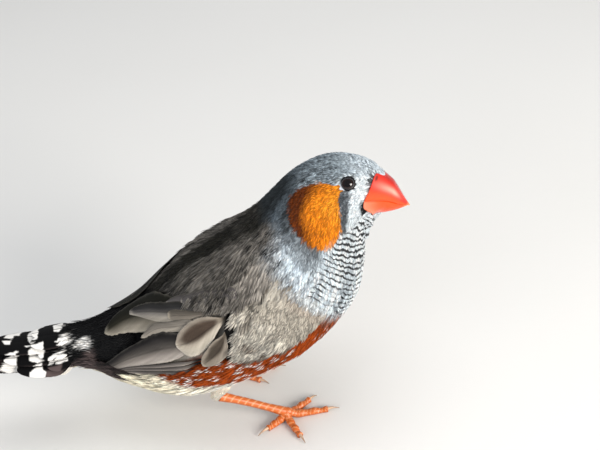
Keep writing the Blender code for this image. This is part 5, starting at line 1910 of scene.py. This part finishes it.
@dataclass
class Tail:
    """The tail: dark feathers under long coverts that are black with white spots."""

    form: Form
    palette: Palette
    root_x: float = -45.7
    height: float = 24.6
    seed: int = 23
    rows: tuple[TailRow, ...] = (
        TailRow("under", 3, (1.2, 4.6), (-3.0, -2.6), (0.0, 1.0), (-61.0, -57.0), (2.6, 2.4), 1.3),
        TailRow("rectrix", 6, (1.1, 3.2), (0.1, -2.1), (0.1, 0.9), (-77.0, -71.5), (2.8, 2.5), 2.4),
        TailRow("upper_long", 3, (1.6, 5.9), (2.2, -1.0), (-0.4, 0.4), (-66.0, -60.0), (2.7, 2.6), 0.8),
        TailRow("upper_short", 3, (1.6, 5.8), (4.0, 0.8), (0.4, 2.0), (-56.5, -53.0), (2.8, 2.4), -0.6),
    )

    def build(self) -> list[bpy.types.Object]:
        """Makes every row, and writes the long feathers and the coverts over them as two pieces."""
        rng = np.random.default_rng(self.seed)
        shape = VaneShape(rings=90, columns=23, barbs=0, blade=1.0, rise=0.14, fray=0.012)
        pieces = []
        for name, rows in (("tail_feathers", self.rows[:2]), ("tail_coverts", self.rows[2:])):
            stock = Stock()
            for row in rows:
                for number in range(row.pairs):
                    for side in Side:
                        self._lay(stock, row, number, side, shape.build(rng), rng)
            pieces.append(settle(stock.piece(name, self.form), "tail_feathers", "tail"))
        return pieces

    def _lay(
        self, stock: Stock, row: TailRow, number: int, side: Side, vane: VaneMesh, rng: np.random.Generator
    ) -> None:
        """Lays one feather of a row."""
        share = number / (row.pairs - 1)
        across, height, turn, tip_x, width = (
            pair[0] + (pair[1] - pair[0]) * share for pair in (row.across, row.height, row.turn, row.tip_x, row.width)
        )
        t = vane.along
        x = self.root_x + (tip_x - self.root_x) * t
        y = side.value * (across + (self.root_x - x) * math.tan(math.radians(turn)))
        z = self.height + height + row.rise * t - 0.25 * height * (1.0 - smooth(0.0, 0.25, t))
        y = y * (0.55 + 0.45 * smooth(0.0, 0.3, t))
        aside = vane.across * width
        tilt = -side.value * 0.06 * across
        z = z + vane.rise - aside**2 / 22.0 + aside * tilt * 0.9
        points = np.stack([x, y + aside, z], -1)
        length = abs(tip_x - self.root_x)
        tint = self._paint(row, vane, points)
        stock.add(points, vane.tris, tint, np.stack([aside, t * length], -1))

    def _paint(self, row: TailRow, vane: VaneMesh, points: Array) -> Array:
        """Black with white spots, and pale below."""
        p = self.palette
        if row.name == "under":
            return np.broadcast_to(p.belly, points.shape) * 0.95
        colour = np.broadcast_to(p.tail, points.shape)
        colour = blend(colour, p.tail_brown, 0.25 * smooth(0.8, 1.0, np.abs(vane.across)))
        colour = tail_pattern(points[:, 0], points[:, 1], colour, p)
        return blend(colour, p.tail, 0.85 * smooth(0.06, 0.02, np.abs(vane.across)))


@dataclass
class ThighCoat:
    """The fine, pale feathers of both thighs, down to the heel."""

    form: Form
    palette: Palette
    legs: list[Leg]
    seed: int = 31

    def build(self) -> list[bpy.types.Object]:
        """Lays the feathers round each thigh."""
        rng = np.random.default_rng(self.seed)
        pieces = []
        for leg in self.legs:
            stock = Stock()
            vane = VaneShape(rings=4, columns=3, barbs=5, aspect=4.0).build(rng)
            line, radii = leg.thigh_line(40)
            ahead = np.gradient(line, axis=0)
            ahead /= np.linalg.norm(ahead, axis=1)[:, None]
            for row in range(14, 35):
                count = max(int(2.0 * math.pi * radii[row] / 0.75), 5)
                for k in range(count):
                    turn = 2.0 * math.pi * (k + 0.5 * (row % 2) + rng.normal(0.0, 0.12)) / count
                    self._lay(stock, vane, line[row], ahead[row], radii[row], turn, rng)
            pieces.append(settle(stock.piece("coat_thigh_" + leg.side.label, self.form), "thigh_feathers"))
        return pieces

    def _lay(
        self, stock: Stock, vane: VaneMesh, at: Array, ahead: Array, radius: float, turn: float, rng: np.random.Generator
    ) -> None:
        """Lays one feather along the thigh."""
        up = np.cross(ahead, [0.0, 1.0, 0.0])
        up /= np.linalg.norm(up)
        side = np.cross(ahead, up)
        out = up * math.cos(turn) + side * math.sin(turn)
        across = np.cross(ahead, out)
        length = min(2.6, 1.1 + radius * 0.5) * (1.0 + rng.normal(0.0, 0.08))
        width = 0.55
        lean = -0.12 - 0.25 * rng.random()
        base = at + out * (radius * 0.84)
        rise = 0.1 + vane.rise * 0.6 + vane.along * 0.35 + vane.along * lean * 0.6
        points = (
            base
            + ahead * (vane.along * length)[:, None]
            + across * (vane.across * width)[:, None]
            + out * rise[:, None]
            - out * (vane.along * length * 0.28)[:, None]
        )
        shade = 1.0 + 0.12 * rng.normal() + 0.15 * vane.strand
        # Darker towards the root and lighter at the tip, as painted shade between the feathers.
        tint = tone("fff0dc")[None] * (shade * (0.9 + 0.2 * vane.along))[:, None]
        root = np.array([0.05 + 0.0006 * stock.count / 60.0 % 0.9, 0.02])
        local = np.stack([np.clip(vane.across / 2.4, -0.5, 0.5), np.clip(vane.along, 0, 1) - 0.5], -1)
        stock.add(points, vane.tris, tint, np.stack([vane.across * width, vane.along * length], -1), root + local * 0.003)


@dataclass
class Studio:
    """A pale floor, soft lights and the camera at the photograph's angle."""

    camera_at: tuple[float, float, float] = (0.0308, -0.2078, 0.2013)
    elevation: float = 36.0
    roll: float = 7.5
    lens: float = 69.0

    def build(self) -> None:
        """Makes the floor, the lights, the sky and the camera."""
        self._floor()
        self._light("key", (0.43, -0.40, 0.24), 0.24, 4.4, "fffaf4")
        self._light("fill", (-0.40, -0.42, 0.20), 0.45, 1.5, "f2f6ff")
        self._light("top", (0.05, 0.05, 0.60), 0.40, 1.5, "ffffff")
        world = bpy.data.worlds.new("studio_air")
        world.use_nodes = True
        background = world.node_tree.nodes["Background"]
        background.inputs["Color"].default_value = (0.92, 0.95, 1.0, 1.0)
        background.inputs["Strength"].default_value = 0.45
        bpy.context.scene.world = world
        bpy.context.scene.view_settings.view_transform = "Standard"
        self._camera()

    @staticmethod
    def _floor() -> None:
        """A wide floor that the bird stands on."""
        mesh = bpy.data.meshes.new("floor")
        made = bmesh.new()
        bmesh.ops.create_grid(made, x_segments=8, y_segments=8, size=1.5)
        made.to_mesh(mesh)
        made.free()
        floor = bpy.data.objects.new("floor", mesh)
        floor.location.z = -0.00005
        bpy.context.scene.collection.objects.link(floor)
        mesh.materials.append(FloorFinish("pale_floor").make())

    @staticmethod
    def _light(name: str, place: tuple[float, float, float], size: float, power: float, colour: str) -> None:
        """A soft square light that looks at the bird."""
        data = bpy.data.lights.new(name, "AREA")
        data.size, data.energy, data.color = size, power, tuple(tone(colour))
        lamp = bpy.data.objects.new(name, data)
        lamp.location = place
        lamp.rotation_euler = (Vector((0.0, 0.0, 0.03)) - Vector(place)).to_track_quat("-Z", "Y").to_euler()
        # Only the key light is mirrored in the eyes.
        lamp.visible_glossy = name == "key"
        bpy.context.scene.collection.objects.link(lamp)

    def _camera(self) -> None:
        """The camera, looking down on the bird's right side, with the photograph's slight roll."""
        tilt, roll = math.radians(self.elevation), math.radians(self.roll)
        ahead = np.array([0.0, math.cos(tilt), -math.sin(tilt)])
        right, up = np.array([1.0, 0.0, 0.0]), np.array([0.0, math.sin(tilt), math.cos(tilt)])
        turned = math.cos(roll) * right - math.sin(roll) * up
        raised = math.sin(roll) * right + math.cos(roll) * up
        data = bpy.data.cameras.new("camera")
        data.lens, data.sensor_width, data.clip_start = self.lens, 36.0, 0.01
        camera = bpy.data.objects.new("camera", data)
        matrix = np.eye(4)
        matrix[:3, :3] = np.stack([turned, raised, -ahead], axis=1)
        matrix[:3, 3] = self.camera_at
        camera.matrix_world = Matrix([list(row) for row in matrix])
        bpy.context.scene.collection.objects.link(camera)
        bpy.context.scene.camera = camera


def dress(pieces: list[bpy.types.Object], material: bpy.types.Material) -> None:
    """Gives some pieces their material."""
    for piece in pieces:
        piece.data.materials.clear()
        piece.data.materials.append(material)


def main() -> None:
    """Builds the bird and its studio, piece by piece."""
    logging.basicConfig(level=logging.INFO, format="%(message)s")
    form, palette = Form(), Palette()
    markings = Markings(form, palette)
    legs = [Leg(form, palette, Side.LEFT, -12.0, 5.0), Leg(form, palette, Side.RIGHT, 0.0, 0.0)]
    feather = FeatherFinish("body_feather").make()
    flight = FeatherFinish("flight_feather", barb_pitch=0.4, contrast=0.16, relief=0.00007, sheen=0.03).make()
    dress([BodySkin(form, markings).build(legs)], feather)
    dress(Coat(form, palette, markings, Wing(form, palette, Side.RIGHT)).build(), feather)
    dress(ThighCoat(form, palette, legs).build(), feather)
    for side in Side:
        dress([WingFeathers(form, palette, side).build()], flight)
    dress(Tail(form, palette).build(), flight)
    dress(Bill(form).build(), HornFinish("bill_horn").make())
    dress([ChinCoat(form, palette).build()], feather)
    for side in Side:
        ball, lids = Eye(form, palette, side).build()
        dress([ball], EyeFinish("wet_eye_" + side.label).make())
        dress([lids], LegFinish("lid_skin_" + side.label).make())
    leg_finish = LegFinish("leg_scutes").make()
    claw_finish = HornFinish("claw_horn", 0.35).make()
    for leg in legs:
        shank, toes, claws = leg.build()
        dress([shank, toes], leg_finish)
        dress([claws], claw_finish)
    Studio().build()


if __name__ == "__main__":
    main()
